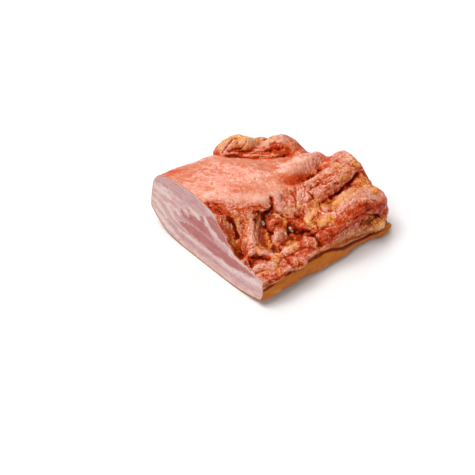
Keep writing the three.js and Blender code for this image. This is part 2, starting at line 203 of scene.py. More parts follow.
# Lights, with their places from a point inside the block in metres, their sides in metres or for the sun its
# spread in degrees, and whether they gleam on wet meat. Their strengths are settings of the stage.
LIGHT_TARGET = Vector((0, 0, 0.03))
LIGHTS = (
    ("key_light", "SUN", (-0.45, 0.35, 1.3), 50, False),
    ("back_light", "AREA", (0.75, 0.87, 0.96), 0.6, True),
    ("gleam_light", "AREA", (-0.45, 0.45, 1.4), 0.4, True),
    ("fill_light", "AREA", (-1.2, -0.8, 0.9), 1.2, False),
    ("side_light", "AREA", (0.7, -1.0, 0.4), 1.2, False),
)
FLOOR_GAP = 0.2 * MM

# In front of this edge, (from the cut, from the front), the smooth top breaks up into folds.
PLATEAU_EDGE = (
    (0, 100), (15, 94), (30, 84), (41, 75), (54, 68), (66, 64),
    (78, 61), (97, 64), (124, 62), (156, 67), (184, 78),
)

# Crests of the folds: the lumps of the front, the long folds and bands of the far end, and the flap.
# The fine wrinkles follow them.
FOLDS = (
    ((42, 63, 56), (33, 51, 48), (26, 41, 42), (20, 33, 39)),
    ((12, 33, 39), (23, 34, 40), (32, 26, 38), (34, 14, 34)),
    ((4, 18, 35), (18, 16, 35), (25, 9, 33)),
    ((8, 5, 32), (21, 1, 31), (36, 0, 30)),
    ((56, 50, 48), (63, 49, 47), (69, 45, 43)),
    ((70, 42, 41), (56, 36, 40), (41, 31, 38)),
    ((36, 16, 35), (50, 17, 35), (65, 16, 35)),
    ((37, 5, 31), (48, 1, 31), (62, 2, 31)),
    ((69, 13, 34), (80, 11, 35)),
    ((75, 39, 41), (81, 31, 41), (88, 20, 40)),
    ((86, 8, 36), (97, 7, 39), (108, 6, 42)),
    ((103, 41, 52), (97, 31, 48), (88, 27, 43)),
    ((110, 26, 53), (106, 17, 49), (96, 14, 43)),
    ((98, 64, 59), (92, 53, 54), (84, 46, 47)),
    ((114, 64, 60), (105, 54, 58), (94, 48, 51)),
    ((118, 55, 60), (108, 47, 57), (99, 42, 51)),
    ((73, 58, 55), (81, 53, 51), (81, 45, 45)),
    ((116, 42, 56), (128, 43, 60), (142, 43, 62), (160, 44, 62), (178, 45, 64)),
    ((114, 58, 60), (130, 58, 62), (146, 58, 63), (164, 57, 64), (180, 56, 67)),
    ((156, 70, 60), (168, 68, 64), (180, 65, 67)),
    ((110, 14, 49), (122, 16, 53), (138, 18, 56), (156, 18, 54), (170, 19, 48)),
    ((106, 6, 42), (126, 4, 45), (147, 4, 46), (172, 8, 38)),
    ((88, 160, 55), (98, 158, 64), (110, 153, 68), (121, 146, 60)),
    ((122, 142, 58), (134, 134, 67), (146, 123, 67), (159, 108, 57)),
    ((174, 26, 46), (178, 44, 50), (178, 62, 50), (176, 80, 44)),
    ((182, 92, 34), (184, 116, 30), (176, 138, 28)),
)

# Crest of the smooth muscle that bulges out between the flap and the far folds.
MUSCLE = ((96, 92, 60), (112, 91, 64), (131, 87, 67), (146, 84, 67), (156, 83, 63))

# Nearer the cut than LUMPS_END the folds are round lumps, and their wrinkles are drawn out less. Wrinkles
# follow a crest as far as CREST_REACH and turn over it in a curve of CREST_ROUNDING. Those of two crests
# are CRESTS_APART in the pattern, so no two look alike.
LUMPS_END, LUMP_STRETCH, FOLD_STRETCH = 112, 1.5, 2.0
CREST_REACH, CREST_ROUNDING, CRESTS_APART = (12, 20), 2.0, 31.0

# Creases and seams that are cut in: path over the picture, half width and depth in millimetres.
CREASES = (
    (((208, 202), (214, 203.5), (221, 203.5)), 0.9, 0.9),
    (((211, 207), (217, 208.5), (225, 209)), 0.9, 0.9),
    (((217, 199.5), (222, 200.5), (227, 202)), 0.8, 0.6),
    (((226, 206), (233, 206.5), (240, 205.5)), 0.8, 0.7),
    (((231, 209.5), (238, 208.5)), 0.8, 0.7),
    (((244, 205), (251, 204), (257, 202)), 0.8, 0.6),
    (((229, 218), (231, 221), (234, 227), (236, 233), (237, 238)), 2.0, 3.0),
    (((240, 241), (240, 247), (241, 255), (245, 262), (249, 268)), 1.0, 1.2),
    (((222, 219), (226, 229), (229, 237), (232, 245), (235, 252)), 1.0, 0.9),
    (((255, 212), (260, 213), (265, 213), (269, 211), (271, 207), (272, 202), (272, 198)), 1.7, 3.0),
    (((238, 210), (245, 208), (252, 207), (258, 206), (262, 205)), 1.1, 0.5),
    (((254, 215), (257, 214), (261, 216)), 1.0, 1.0),
    (((263, 216), (264, 222), (265, 228), (268, 231), (272, 232)), 1.9, 3.4),
    (((271, 210), (276, 212), (281, 216), (283, 220), (282, 225)), 1.0, 1.2),
    (((270, 220), (275, 219), (280, 220)), 0.9, 0.9),
    (((273, 229), (276, 225), (280, 222)), 1.2, 1.0),
    (((256, 220), (256, 227), (255, 234), (257, 240)), 1.1, 1.3),
    (((270, 234), (269, 240), (270, 244)), 1.6, 2.8),
    (((272, 247), (275, 250), (279, 251), (281, 249)), 2.0, 4.0),
    (((248, 257), (251, 262), (251, 268)), 1.8, 2.4),
    (((250, 258), (257, 259), (263, 258), (269, 257)), 1.5, 1.8),
    (((239, 224), (242, 222), (247, 224)), 0.9, 0.8),
    (((246, 216), (249, 222), (247, 227)), 1.0, 1.0),
    (((244, 229), (248, 232), (252, 231)), 1.0, 1.0),
    (((247, 236), (249, 241), (246, 246)), 1.0, 1.0),
    (((243, 226), (242, 232), (243, 238), (241, 243)), 0.9, 0.9),
    (((255, 247), (250, 249), (247, 252)), 0.9, 0.7),
    (((287, 225), (290, 223), (293, 222)), 1.0, 1.2),
    (((289, 233), (293, 231), (297, 234), (303, 234), (309, 232)), 2.0, 3.2),
    (((309, 232), (313, 235), (316, 238), (319, 240)), 1.5, 2.6),
    (((320, 239), (320, 243), (322, 247)), 1.8, 2.8),
    (((287, 260), (291, 264), (296, 266), (301, 266)), 1.3, 1.6),
    (((281, 252), (284, 256), (286, 260)), 1.0, 1.0),
    (((292, 254), (296, 257), (300, 255)), 0.9, 0.8),
    (((264, 276), (268, 279), (271, 281)), 1.3, 1.6),
    (((265, 274), (271, 276), (277, 274), (281, 272)), 1.0, 1.1),
    (((276, 279), (282, 277), (286, 273)), 1.0, 0.9),
    (((262, 262), (268, 263), (272, 267)), 0.9, 0.8),
    (((266, 269), (272, 266), (279, 266)), 0.9, 0.7),
    (((215, 203), (218, 206), (222, 209), (226, 212)), 1.0, 0.9),
    (((210, 206), (214, 209), (219, 212)), 1.2, 0.9),
    (((222, 204), (226, 203), (230, 203)), 1.0, 0.6),
    (((212, 212), (217, 214), (224, 214), (229, 212)), 1.1, 0.9),
    (((303, 181), (308, 178), (312, 175), (316, 173), (320, 170), (324, 166), (329, 162)), 1.4, 2.2),
    (((285, 182), (289, 184), (294, 184)), 1.2, 1.0),
    (((308.5, 155), (308, 160), (310, 166), (311, 171)), 0.8, 0.7),
    (((314, 154), (313, 162), (312, 168)), 0.8, 0.7),
    (((319, 155), (317, 162), (316, 168)), 0.8, 0.7),
    (((322, 156), (320, 163), (318, 168)), 0.8, 0.7),
    (((325, 158), (322, 163), (320, 167)), 0.8, 0.7),
    (((305, 157), (305, 164), (306, 170)), 0.8, 0.5),
    (((321, 203), (326, 200), (331, 197)), 1.2, 1.4),
    (((331, 197), (336, 194), (341, 191), (346, 187), (351, 182), (355, 178), (358, 174)), 2.0, 3.2),
    (((311, 188), (315, 186), (318, 184), (320, 180)), 1.3, 1.8),
    (((322, 182), (324, 184), (328, 182), (331, 180)), 1.2, 1.6),
    (((334, 184), (339, 183)), 1.3, 1.5),
    (((320, 190), (324, 187), (330, 186)), 0.9, 0.7),
    (((324, 192), (330, 189), (336, 187)), 0.9, 0.7),
    (((341, 184), (346, 180), (350, 175)), 0.9, 0.8),
    (((338, 176), (344, 173), (350, 171)), 0.9, 0.8),
    (((301, 184), (302, 190), (301, 197)), 1.0, 0.9),
    (((309, 190), (311, 195), (313, 199)), 1.3, 1.7),
    (((313, 199), (309, 201), (304, 203), (301, 205)), 1.0, 1.1),
    (((305, 186), (306, 193), (304, 200)), 0.9, 0.8),
    (((291, 192), (294, 196), (296, 203), (295, 208)), 1.1, 1.2),
    (((291, 206), (292, 211), (296, 215), (301, 218)), 1.0, 0.9),
    (((284, 208), (287, 205), (289, 200)), 0.9, 0.7),
    (((279, 205), (283, 202), (284, 197)), 0.9, 0.6),
    (((286, 217), (290, 214), (294, 213)), 0.9, 0.8),
    (((304, 206), (304, 213), (302, 219)), 1.0, 0.8),
    (((311, 204), (310, 212), (307, 219)), 1.0, 0.9),
    (((317, 205), (316, 213), (312, 221)), 1.1, 1.1),
    (((320, 204), (321, 209), (325, 212), (330, 211)), 1.5, 2.2),
    (((302, 222), (306, 225), (311, 226), (315, 224)), 1.1, 1.2),
    (((313, 228), (320, 229), (326, 227), (332, 225)), 1.1, 1.4),
    (((334, 205), (335, 210), (338, 215)), 1.0, 0.8),
    (((343, 196), (345, 203), (347, 209)), 0.9, 0.5),
    (((352, 194), (351, 200), (349, 207)), 0.9, 0.4),
    (((344, 219), (350, 213), (356, 208), (361, 203), (368, 200), (378, 200)), 1.1, 0.9),
    (((345, 224), (352, 219), (359, 215), (366, 210), (375, 206)), 0.9, 0.7),
    (((358, 209), (364, 205), (371, 202)), 0.8, 0.5),
    (((362, 212), (368, 209), (375, 203)), 0.8, 0.5),
    (((335, 237), (343, 231), (351, 226), (359, 221), (365, 217)), 1.0, 0.8),
    (((361, 227), (363, 220), (368, 215.5), (374, 214.5), (380, 216), (384, 218.5)), 1.5, 3.0),
    (((361, 230), (366, 227), (371, 225), (376, 222)), 1.1, 1.2),
    (((364, 236), (370, 234), (376, 233)), 0.9, 0.8),
    (((349, 163), (355, 167), (361, 169)), 1.1, 1.0),
    (((358, 172), (364, 174), (370, 176)), 1.2, 1.3),
    (((335, 160), (341, 162), (347, 163)), 1.0, 0.8),
    (((341, 153), (346, 156), (351, 160)), 0.9, 0.6),
    (((356, 158), (359, 164), (363, 168)), 0.9, 0.7),
    (((361, 180), (367, 179), (372, 183)), 0.9, 0.7),
    (((237, 138), (232, 140), (228, 144), (226, 148), (223, 152)), 1.3, 2.2),
    (((226, 151), (231, 150), (236, 150), (241, 147), (246, 142)), 1.0, 1.2),
    (((236, 152), (243, 151), (250, 150), (257, 148), (264, 147)), 1.2, 1.4),
    (((252, 153), (260, 151), (268, 150), (276, 149), (283, 148)), 1.4, 1.6),
    (((255, 153.5), (263, 154), (270, 154)), 1.2, 1.2),
    (((227, 155), (233, 155.5), (241, 156.5), (249, 157.5), (257, 157.5), (266, 157.5), (275, 157.5),
      (282, 155.5), (288, 153.5)), 1.1, 1.3),
    (((270, 137), (274, 138), (277, 137)), 1.0, 0.8),
    (((270, 146), (276, 144), (284, 144), (291, 147)), 1.2, 1.0),
    (((248, 138), (254, 140), (260, 141)), 0.9, 0.6),
)

# Strings, crests and rims that stand up: path, half width and height in millimetres.
RAISED = (
    (((246, 153.5), (253, 155), (260, 156), (267, 156.5), (274, 156), (283, 154.5)), 1.1, 1.1),
    (((270, 153), (275, 155.5), (281, 156)), 0.9, 0.8),
    (((255, 149), (262, 145.5), (270, 143), (277, 141)), 1.3, 1.0),
    (((226, 153), (231, 152.5), (236, 154.5)), 2.0, 1.2),
    (((271, 212), (275, 214), (280, 217), (282, 220)), 1.0, 0.9),
    (((266, 233), (267, 239), (268, 245), (272, 250)), 1.6, 1.0),
    (((252, 216), (253, 224), (252, 232), (250, 240), (248, 247)), 1.8, 0.8),
    (((245, 221), (247, 229), (248, 237)), 1.3, 0.5),
    (((284, 217), (286, 223), (285, 230)), 1.2, 0.8),
    (((287, 242), (291, 240), (294, 241)), 1.8, 0.8),
    (((230, 212), (235, 211), (239, 213)), 1.5, 0.8),
    (((314, 205), (313, 213), (309, 221)), 1.2, 0.8),
    (((307, 206), (307, 213), (304, 220)), 1.2, 0.7),
    (((319, 208), (319, 216), (315, 222)), 1.2, 0.9),
    (((320, 222), (325, 219), (330, 222)), 1.8, 0.9),
    (((307, 188), (308, 195), (306, 201)), 1.3, 0.6),
    (((384, 219), (382, 223.5), (379.5, 228), (376, 231.5), (371, 233)), 1.3, 1.0),
    (((368, 226), (373, 223), (378, 223)), 7.0, 3.8),
    (((318, 210), (326, 205), (335, 200), (343, 195), (350, 189), (356, 182)), 5.0, 3.0),
    (((247, 218), (247, 230), (244, 242)), 8.0, 0.6),
    (((270, 222), (277, 223)), 5.0, 1.2),
    (((316, 180), (325, 175), (334, 172), (344, 169)), 2.0, 0.5),
    (((248, 142), (256, 141), (264, 141)), 6.0, 4.5),
    (((215.5, 151), (219, 148)), 2.5, 2.0),
    (((276, 137), (280, 136)), 3.0, 1.0),
    (((328, 193), (336, 188), (344, 182), (351, 176)), 1.5, 0.7),
    (((205, 204), (214, 214), (221, 221), (225, 228)), 1.1, 0.5),
    (((297, 183), (304, 183), (312, 179), (318, 175)), 1.2, 0.6),
    (((253, 262), (258, 265), (263, 269)), 1.1, 0.2),
)

# Where the skin lies tight and smooth over the folds: path, half width, strength.
TIGHT_SKIN = (
    (((336, 232), (346, 224), (356, 216), (366, 209), (376, 206), (386, 206)), 7.0, 0.8),
    (((305, 188), (307, 195), (305, 201)), 4.0, 0.6),
    (((322, 178), (332, 182), (344, 178), (352, 174)), 4.0, 0.45),
    (((266, 224), (272, 227), (277, 224)), 5.0, 0.5),
    (((330, 171), (340, 169), (350, 168)), 4.0, 0.4),
)

# Where rendered fat shows golden; some strokes also paint light on folds that lie in shade: path, half width,
# strength.
GOLDEN_FAT_AND_LIGHT = (
    (((318, 255), (330, 247), (341, 240), (352, 233)), 3.0, 0.6),
    (((338, 153), (346, 157), (354, 163), (360, 168)), 5.0, 0.45),
    (((320, 207), (326, 204), (332, 201)), 4.0, 0.8),
    (((328, 205), (337, 199), (346, 194), (353, 187)), 3.0, 0.7),
    (((230, 212), (235, 213), (239, 215)), 2.4, 0.6),
    (((234, 239), (236, 244), (236, 249), (238, 254)), 2.6, 1.0),
    (((236, 217), (236, 222), (237, 228)), 2.4, 0.6),
    (((246, 216), (247, 228), (245, 240)), 5.0, 0.4),
    (((258, 220), (258, 232), (259, 245)), 3.0, 0.5),
    (((227, 222), (229, 231), (232, 240)), 2.2, 0.5),
    (((256, 217), (260, 217), (263, 216)), 2.6, 0.7),
    (((265, 232), (267, 238), (267, 243), (270, 248), (275, 252), (278, 257)), 2.4, 1.0),
    (((284, 217), (286, 223), (285, 230)), 2.2, 0.7),
    (((287, 243), (291, 240), (294, 241), (295, 246)), 3.0, 0.9),
    (((287, 247), (291, 249)), 3.0, 0.6),
    (((257, 249), (262, 246), (266, 248)), 2.4, 0.7),
    (((276, 260), (278, 266), (279, 271)), 2.4, 0.8),
    (((263, 272), (267, 270), (274, 271)), 1.8, 0.8),
    (((317, 204), (314, 212), (309, 220)), 5.0, 0.8),
    (((304, 221), (309, 223), (313, 221)), 3.0, 0.8),
    (((315, 224), (322, 221), (329, 220), (331, 216)), 4.0, 0.9),
    (((323, 205), (327, 208), (330, 206)), 3.0, 0.5),
    (((309, 174), (313, 174), (323, 168), (330, 163)), 2.0, 0.9),
    (((330, 165), (335, 165), (340, 167)), 3.0, 0.8),
    (((338, 179), (344, 177), (349, 173)), 2.2, 0.8),
    (((311, 181), (322, 175), (334, 171), (346, 168)), 5.0, 0.35),
    (((353, 167), (356, 165), (358, 163)), 1.8, 0.9),
    (((361, 183), (367, 181), (371, 186), (375, 191)), 6.0, 0.85),
    (((336, 203), (346, 196), (356, 190), (366, 188)), 6.0, 0.5),
    (((332, 208), (335, 203), (339, 200)), 3.0, 0.8),
    (((366, 223), (371, 220), (377, 220), (381, 223)), 6.5, 1.0),
    (((366, 231), (372, 230), (378, 228)), 5.0, 0.7),
    (((384, 222), (388, 227), (385, 233)), 4.0, 0.8),
    (((219, 146), (225, 140), (235, 137), (246, 137), (256, 139)), 5.0, 1.0),
    (((233, 146), (240, 148), (248, 147), (254, 145)), 2.6, 0.85),
    (((246, 141), (255, 142), (263, 141)), 4.0, 0.55),
    (((246, 154), (255, 156), (263, 157), (272, 157), (283, 155)), 1.6, 1.0),
    (((270, 153), (275, 155.5), (282, 155.5)), 1.4, 0.9),
    (((267, 140), (272, 140), (277, 139)), 2.2, 0.8),
    (((249, 162), (252, 163)), 2.2, 0.6),
    (((292, 204), (296, 207)), 2.0, 0.4),
    (((277, 183), (283, 184)), 2.5, 0.4),
    (((317, 241), (312, 240)), 2.0, 0.2),
    (((219, 148), (224, 142), (232, 138)), 3.0, 0.5),
    (((290, 149), (296, 150), (302, 152)), 2.5, 0.5),
)

# Where the rind shows above the dark line: path, half width, strength.
BARE_RIND = (
    (((384.5, 220), (388, 223), (389, 227), (386, 232), (380, 236)), 3.4, 1.5),
)

# Beads and rims of pale fat, and painted glints on wet edges: path, half width, strength.
CREAM_FAT_AND_GLINTS = (
    (((231, 224.5), (231.5, 226)), 1.0, 1.0),
    (((262.5, 222), (263.5, 224)), 1.2, 1.2),
    (((290, 228), (292, 231)), 1.2, 1.2),
    (((284, 232), (286, 234)), 1.0, 0.7),
    (((297, 199), (298, 203)), 0.8, 0.6),
    (((274, 214), (279, 217), (282, 219)), 0.7, 0.55),
    (((384, 219), (382, 223.5), (379.5, 228), (376, 231.5)), 1.2, 0.6),
    (((200, 200), (207, 207), (214, 215), (220, 222), (225, 229)), 1.0, 0.45),
    (((255, 156), (262, 157), (268, 157)), 1.0, 0.5),
    (((249.5, 268.5), (250.5, 269)), 1.0, 0.8),
)

# Where smoking has stained the meat dark, and painted shade in creases and under overhanging lips and folds:
# path, half width, strength.
DARK_STAINS_AND_SHADE = (
    (((311, 188), (315, 186), (318, 184), (320, 180)), 1.3, 0.5),
    (((322, 182), (324, 184), (328, 182), (331, 180)), 1.3, 0.5),
    (((334, 184), (339, 183)), 1.3, 0.6),
    (((309, 190), (311, 195), (313, 199)), 1.3, 0.6),
    (((313, 199), (309, 201), (304, 203)), 1.2, 0.5),
    (((291, 192), (294, 196), (296, 203)), 1.4, 0.5),
    (((266, 285), (272, 281), (280, 277), (288, 273)), 1.6, 0.8),
    (((212, 210), (218, 210), (225, 212)), 4.0, 0.8),
    (((207, 204), (213, 206), (223, 206)), 3.2, 0.7),
    (((229, 219), (233, 225), (236, 233), (237, 238)), 2.2, 0.9),
    (((240, 210), (247, 209), (254, 207), (260, 205)), 1.8, 0.6),
    (((256, 213), (264, 213), (270, 210), (272, 204), (272, 199)), 1.8, 0.95),
    (((226, 208), (234, 209), (242, 209), (252, 207), (262, 205)), 2.0, 0.3),
    (((264, 218), (265, 226), (269, 231)), 2.0, 0.9),
    (((268, 223), (273, 225), (279, 223)), 5.5, 1.1),
    (((270, 218), (276, 220), (281, 223)), 2.6, 0.45),
    (((318, 232), (325, 234), (332, 231)), 4.0, 0.85),
    (((274, 243), (279, 244), (285, 244)), 4.5, 0.35),
    (((272, 248), (278, 250), (282, 247)), 2.4, 0.8),
    (((249, 257), (253, 260), (251, 266)), 3.0, 0.85),
    (((254, 257), (262, 258), (269, 257)), 2.4, 0.7),
    (((268, 277), (275, 278), (282, 276)), 3.4, 0.6),
    (((322, 244), (328, 238), (334, 232)), 5.0, 0.6),
    (((318, 240), (321, 244)), 3.0, 0.8),
    (((289, 262), (295, 265), (301, 265)), 2.6, 0.6),
    (((302, 243), (307, 247), (305, 252)), 4.0, 0.35),
    (((290, 224), (296, 225), (301, 229)), 4.5, 1.25),
    (((292, 231), (299, 235), (308, 232), (314, 237)), 2.6, 0.9),
    (((292, 193), (294, 200), (293, 206)), 2.4, 0.5),
    (((282, 178), (290, 180), (299, 178), (307, 175)), 5.0, 0.4),
    (((303, 179), (311, 175), (318, 171), (325, 165)), 1.6, 0.4),
    (((330, 198), (336, 194), (342, 191), (351, 183), (357, 175)), 2.3, 1.0),
    (((335, 192), (343, 186), (350, 180), (356, 173)), 3.0, 0.1),
    (((320, 188), (328, 184), (337, 183)), 4.0, 0.15),
    (((311, 189), (312, 196), (308, 201)), 2.4, 0.55),
    (((358, 207), (368, 204.5), (378, 204.5), (386, 206)), 4.5, 0.8),
    (((348, 215), (360, 211), (372, 210), (384, 210)), 5.5, 0.85),
    (((334, 228), (343, 222), (352, 217), (362, 214)), 5.0, 0.85),
    (((336, 236), (345, 229), (355, 222), (364, 217)), 3.4, 0.6),
    (((350, 163), (356, 168), (363, 168)), 3.0, 0.4),
    (((358, 172), (364, 174), (370, 177)), 2.4, 0.6),
    (((270, 148), (277, 148), (284, 149), (288, 151)), 4.5, 0.8),
    (((252, 152), (260, 154), (268, 156)), 3.0, 0.25),
    (((243, 144), (246, 142)), 1.8, 0.5),
    (((231, 150), (236, 150), (240, 148)), 1.6, 0.5),
    (((235, 139), (230, 142), (226, 148), (223, 152)), 1.4, 0.8),
    (((228, 155), (234, 155.5), (242, 156.5), (248, 157)), 1.4, 0.4),
    (((283, 142), (290, 144), (298, 147), (304, 151)), 4.5, 0.35),
    (((269, 146), (274, 144)), 2.0, 0.5),
    (((362, 221), (366, 225), (364, 230)), 2.4, 0.4),
    (((366, 224), (371, 220), (377, 219)), 5.0, 0.5),
    (((230, 175), (232, 175)), 0.9, 0.4),
)

# Where the crust stayed pale, and painted sheen and painted light on folds that face away from the lamps:
# path, half width, strength.
PALE_SPOTS_AND_SHEEN = (
    (((318, 255), (330, 247), (341, 240), (352, 233)), 3.0, 0.5),
    (((279, 196), (285, 203), (292, 208)), 6.0, 0.55),
    (((299, 189), (301, 199), (299, 210)), 6.0, 0.6),
    (((326, 206), (336, 201), (344, 196), (351, 190), (357, 183)), 5.0, 0.7),
    (((312, 192), (322, 187), (332, 183)), 6.0, 0.5),
    (((280, 163), (292, 160), (304, 160)), 6.0, 0.45),
    (((309, 157), (316, 157)), 3.0, 0.3),
    (((226, 203), (238, 204), (252, 203), (262, 201)), 5.5, 1.0),
    (((283, 203), (286, 205), (289, 207)), 3.0, 0.4),
    (((243, 222), (244, 232), (243, 240)), 4.0, 0.1),
    (((262, 254), (268, 254)), 3.0, 0.4),
    (((266, 266), (272, 264), (278, 262)), 3.2, 0.5),
    (((306, 190), (308, 196), (305, 202)), 2.5, 0.4),
    (((316, 206), (313, 213), (309, 219)), 4.0, 0.9),
    (((222, 147), (229, 141), (238, 138), (248, 139)), 5.0, 1.2),
    (((366, 186), (374, 190), (380, 195)), 6.0, 0.8),
    (((246, 140), (254, 142), (262, 143), (268, 142)), 6.0, 1.1),
    (((342, 206), (350, 202), (358, 198), (368, 196), (380, 197)), 5.0, 0.9),
    (((336, 214), (342, 209), (348, 206)), 4.0, 0.7),
    (((344, 198), (352, 192), (360, 188), (368, 190)), 6.0, 0.5),
    (((338, 217), (344, 214), (350, 210)), 2.6, 0.4),
    (((328, 171), (337, 169), (346, 168)), 3.4, 0.6),
    (((341, 158), (347, 156), (350, 162)), 3.2, 0.45),
    (((206, 196), (222, 196), (240, 198), (258, 198)), 6.0, 0.8),
    (((255, 178), (266, 182), (272, 188)), 8.0, 0.3),
    (((366, 196), (374, 195), (380, 197)), 4.0, 0.3),
    (((276, 138), (284, 141), (290, 144)), 6.0, 0.6),
    (((284, 171), (297, 170), (310, 167)), 5.0, 0.5),
    (((316, 157), (321, 163)), 4.5, 0.6),
    (((258, 219), (258, 232), (259, 245)), 3.0, 0.8),
    (((226, 220), (229, 230), (232, 240)), 2.4, 0.6),
)

# The cut face, as (from the front, height, half thickness) along each layer.
LEAN_LAYERS = (
    ((170, 56, 5), (155, 59, 6.5), (140, 60, 7.5), (125, 60.5, 8), (112, 60, 8), (100, 59, 7), (90, 58, 4)),
    ((133, 32, 4), (122, 36, 6), (110, 38, 7), (98, 38, 6.5), (88, 37, 6), (78, 33, 4), (55, 33, 3)),
    ((131, 11.5, 2.6), (110, 11.5, 3.2), (88, 11, 3.1), (70, 11, 2.2), (50, 11.6, 1.6), (35, 11.5, 2.2),
     (20, 12.5, 2.4), (8, 15, 1.4), (1, 17, 0.6)),
    ((160, 22, 1.5), (150, 19.5, 2), (140, 16.5, 2.5), (131, 13.5, 2.5)),
    ((163, 33, 1), (156, 31, 1.4), (148, 27, 1.4), (140, 23, 1.5), (130, 20, 1.5), (118, 18.6, 1.3),
     (108, 17.4, 0.8)),
    ((60, 46, 3), (54, 44, 2.4), (48, 40, 1.6)),
    ((168, 44, 1), (150, 44, 1.4), (137, 42, 1)),
)
DEEP_LEAN = (
    ((129, 27, 0.5), (122, 26.5, 2.5), (110, 27, 5.5), (95, 26.8, 6.3), (80, 26.2, 6.4), (70, 25, 6.8),
     (60, 26.2, 5.2), (50, 25.2, 6), (40, 25.8, 5), (30, 27, 3.4), (20, 27.4, 2.8), (11, 29, 1.2)),
    ((86, 54, 2.6), (78, 52, 7), (70, 49.5, 8), (62, 47, 7.2), (54, 44, 5)),
    ((122, 37, 1.5), (112, 39, 4), (98, 40, 6), (86, 39, 4.5), (76, 36, 2)),
    ((95, 49, 2.8), (93, 47, 2.8)),
    ((126, 41, 1.5), (123, 39, 1.2)),
    ((117, 46, 1), (114, 47, 1)),
)
WHITE_FAT = (
    ((172, 47, 2.5), (162, 46.5, 3.4), (152, 45.5, 2.4), (144, 45, 1.2)),
    ((172, 31, 2.6), (164, 28, 3.2), (155, 23.5, 2.4), (146, 19, 1.4)),
    ((166, 52, 0.7), (155, 51.5, 0.9), (147, 53, 1.2), (140, 51, 0.8), (130, 51, 1), (122, 49, 1.3)),
    ((124, 49, 1), (119, 44, 1.7), (115, 40, 1.3)),
    ((112, 51, 1.8), (104, 49.5, 2), (98, 46, 1.7)),
    ((90, 52, 1.3), (86, 49, 1.7), (82, 46, 1.3), (75, 43, 0.6), (67, 40.5, 0.6), (60, 38.5, 0.7),
     (55, 40, 0.3)),
    ((49, 36, 2), (40, 34, 2.3), (31, 33, 1.4)),
    ((170, 38.5, 1), (160, 37, 1.5), (150, 34.5, 1.8), (142, 31, 1.5), (135, 26, 1)),
    ((168, 20, 2), (160, 16.5, 2.4), (150, 12.5, 2.4), (140, 9, 2), (125, 6, 1.6)),
    ((134, 37, 1.7), (130, 35, 2)),
    ((128, 16.5, 1), (105, 17, 1.4), (90, 17, 1.1), (75, 16.5, 1.4), (60, 17, 2), (45, 17, 2), (30, 19, 2.2),
     (15, 22, 2.6), (3, 24, 3)),
)


def linear(hex_colour):
    """An sRGB hex colour as linear red, green, blue and alpha."""
    parts = [int(hex_colour[i:i + 2], 16) / 255 for i in (1, 3, 5)]
    return tuple(c / 12.92 if c <= 0.04045 else ((c + 0.055) / 1.055) ** 2.4 for c in parts) + (1.0,)


def ease(low, high, value):
    """0 below low, 1 above high and smooth between them."""
    t = np.clip((value - low) / (high - low), 0, 1)
    return t * t * (3 - 2 * t)


# Measuring the block

def rind_height(x, y):
    """Height of the underside above the table."""
    settled = 1 - (1 - SETTLED_SHARE) * ease(*SETTLES, x)
    front = FRONT_LIFT * settled * (np.maximum(REST_FROM - y, 0) / REST_FROM) ** 2
    back = BACK_LIFT * (np.maximum(y - REST_TO, 0) / (BELLY_WIDTH - REST_TO)) ** 3
    tip = TIP_DROP * (np.maximum(x - TIP_FROM, 0) / (BLOCK_LENGTH - TIP_FROM)) ** 2
    return np.maximum(front - tip, 0) + back


def band_scale(x, y):
    """How tall the rind band is: taller along the front, and thinner towards the far end."""
    growth = CUT_GROWTH + MORE_GROWTH * ease(*BAND_GROWS, x)
    front = growth * (1 - ease(FRONT_SIDE[0], REST_FROM, y))
    return (1 + front) * (1 - BAND_THINNING * ease(*BAND_THINS, x))


def rind_level(points):
    """Height over the underside, in millimetres and as a height over a rind band of RIND_BAND."""
    x, y, z = points.T
    above = z - rind_height(x, y)
    return above, above / band_scale(x, y)


def line_drop(x, y):
    """How much lower the line over the rind runs, at the cut and past the middle of the front, up to 1."""
    at_cut = CUT_DROP * (1 - ease(*CUT_LINE_RISES, x))
    return (ease(*LINE_DROPS, x) + at_cut) * (1 - ease(*FRONT_SIDE, y))


def cut_distance(points):
    """Distance of each point, in the block's measure, from the plane of the cut."""
    return points @ np.array(INTO_BLOCK)


def beside(points, path):
    """How far each point is from a path, how far along the path that is, and how far to its right."""
    path = np.array(path, float)
    away = np.full(len(points), np.inf)
    along = np.zeros(len(points))
    right = np.zeros(len(points))
    walked = 0.0
    for start, end in zip(path[:-1], path[1:]):
        edge = end - start
        length = max(np.linalg.norm(edge), 0.01)
        t = np.clip((points - start) @ edge / length ** 2, 0, 1)
        offset = points - start - t[:, None] * edge
        distance = np.linalg.norm(offset, axis=1)
        nearer = distance < away
        away[nearer] = distance[nearer]
        along[nearer] = (walked + t * length)[nearer]
        side = np.array([edge[1], -edge[0], 0]) / length
        right[nearer] = (offset @ side)[nearer]
        walked += length
    return away, along, right


def strokes(points, rows, sharp=2.5):
    """How much of a list of strokes, (path, half width, strength), lies over each point."""
    total = np.zeros(len(points))
    for path, half_width, strength in rows:
        reach = STROKE_REACH * half_width
        in_box = (points > np.min(path, 0) - reach) & (points < np.max(path, 0) + reach)
        close = np.flatnonzero(np.all(in_box, 1))
        away = beside(points[close], path)[0] / half_width
        total[close] = np.maximum(total[close], strength * np.exp(-STROKE_FADE * away ** sharp))
    return total


def layer_depth(points, layers):
    """How deep each point of the cut face, (y, z), is inside the nearest layer; below 0 is outside."""
    depth = np.full(len(points), NO_LAYER)
    legs = [leg for layer in layers for leg in zip(layer[:-1], layer[1:])]
    for start, end in np.array(legs, float):
        edge = end[:2] - start[:2]
        t = np.clip((points - start[:2]) @ edge / (edge @ edge), 0, 1)
        distance = np.linalg.norm(points - start[:2] - t[:, None] * edge, axis=1)
        depth = np.maximum(depth, start[2] + t * (end[2] - start[2]) - distance)
    return depth


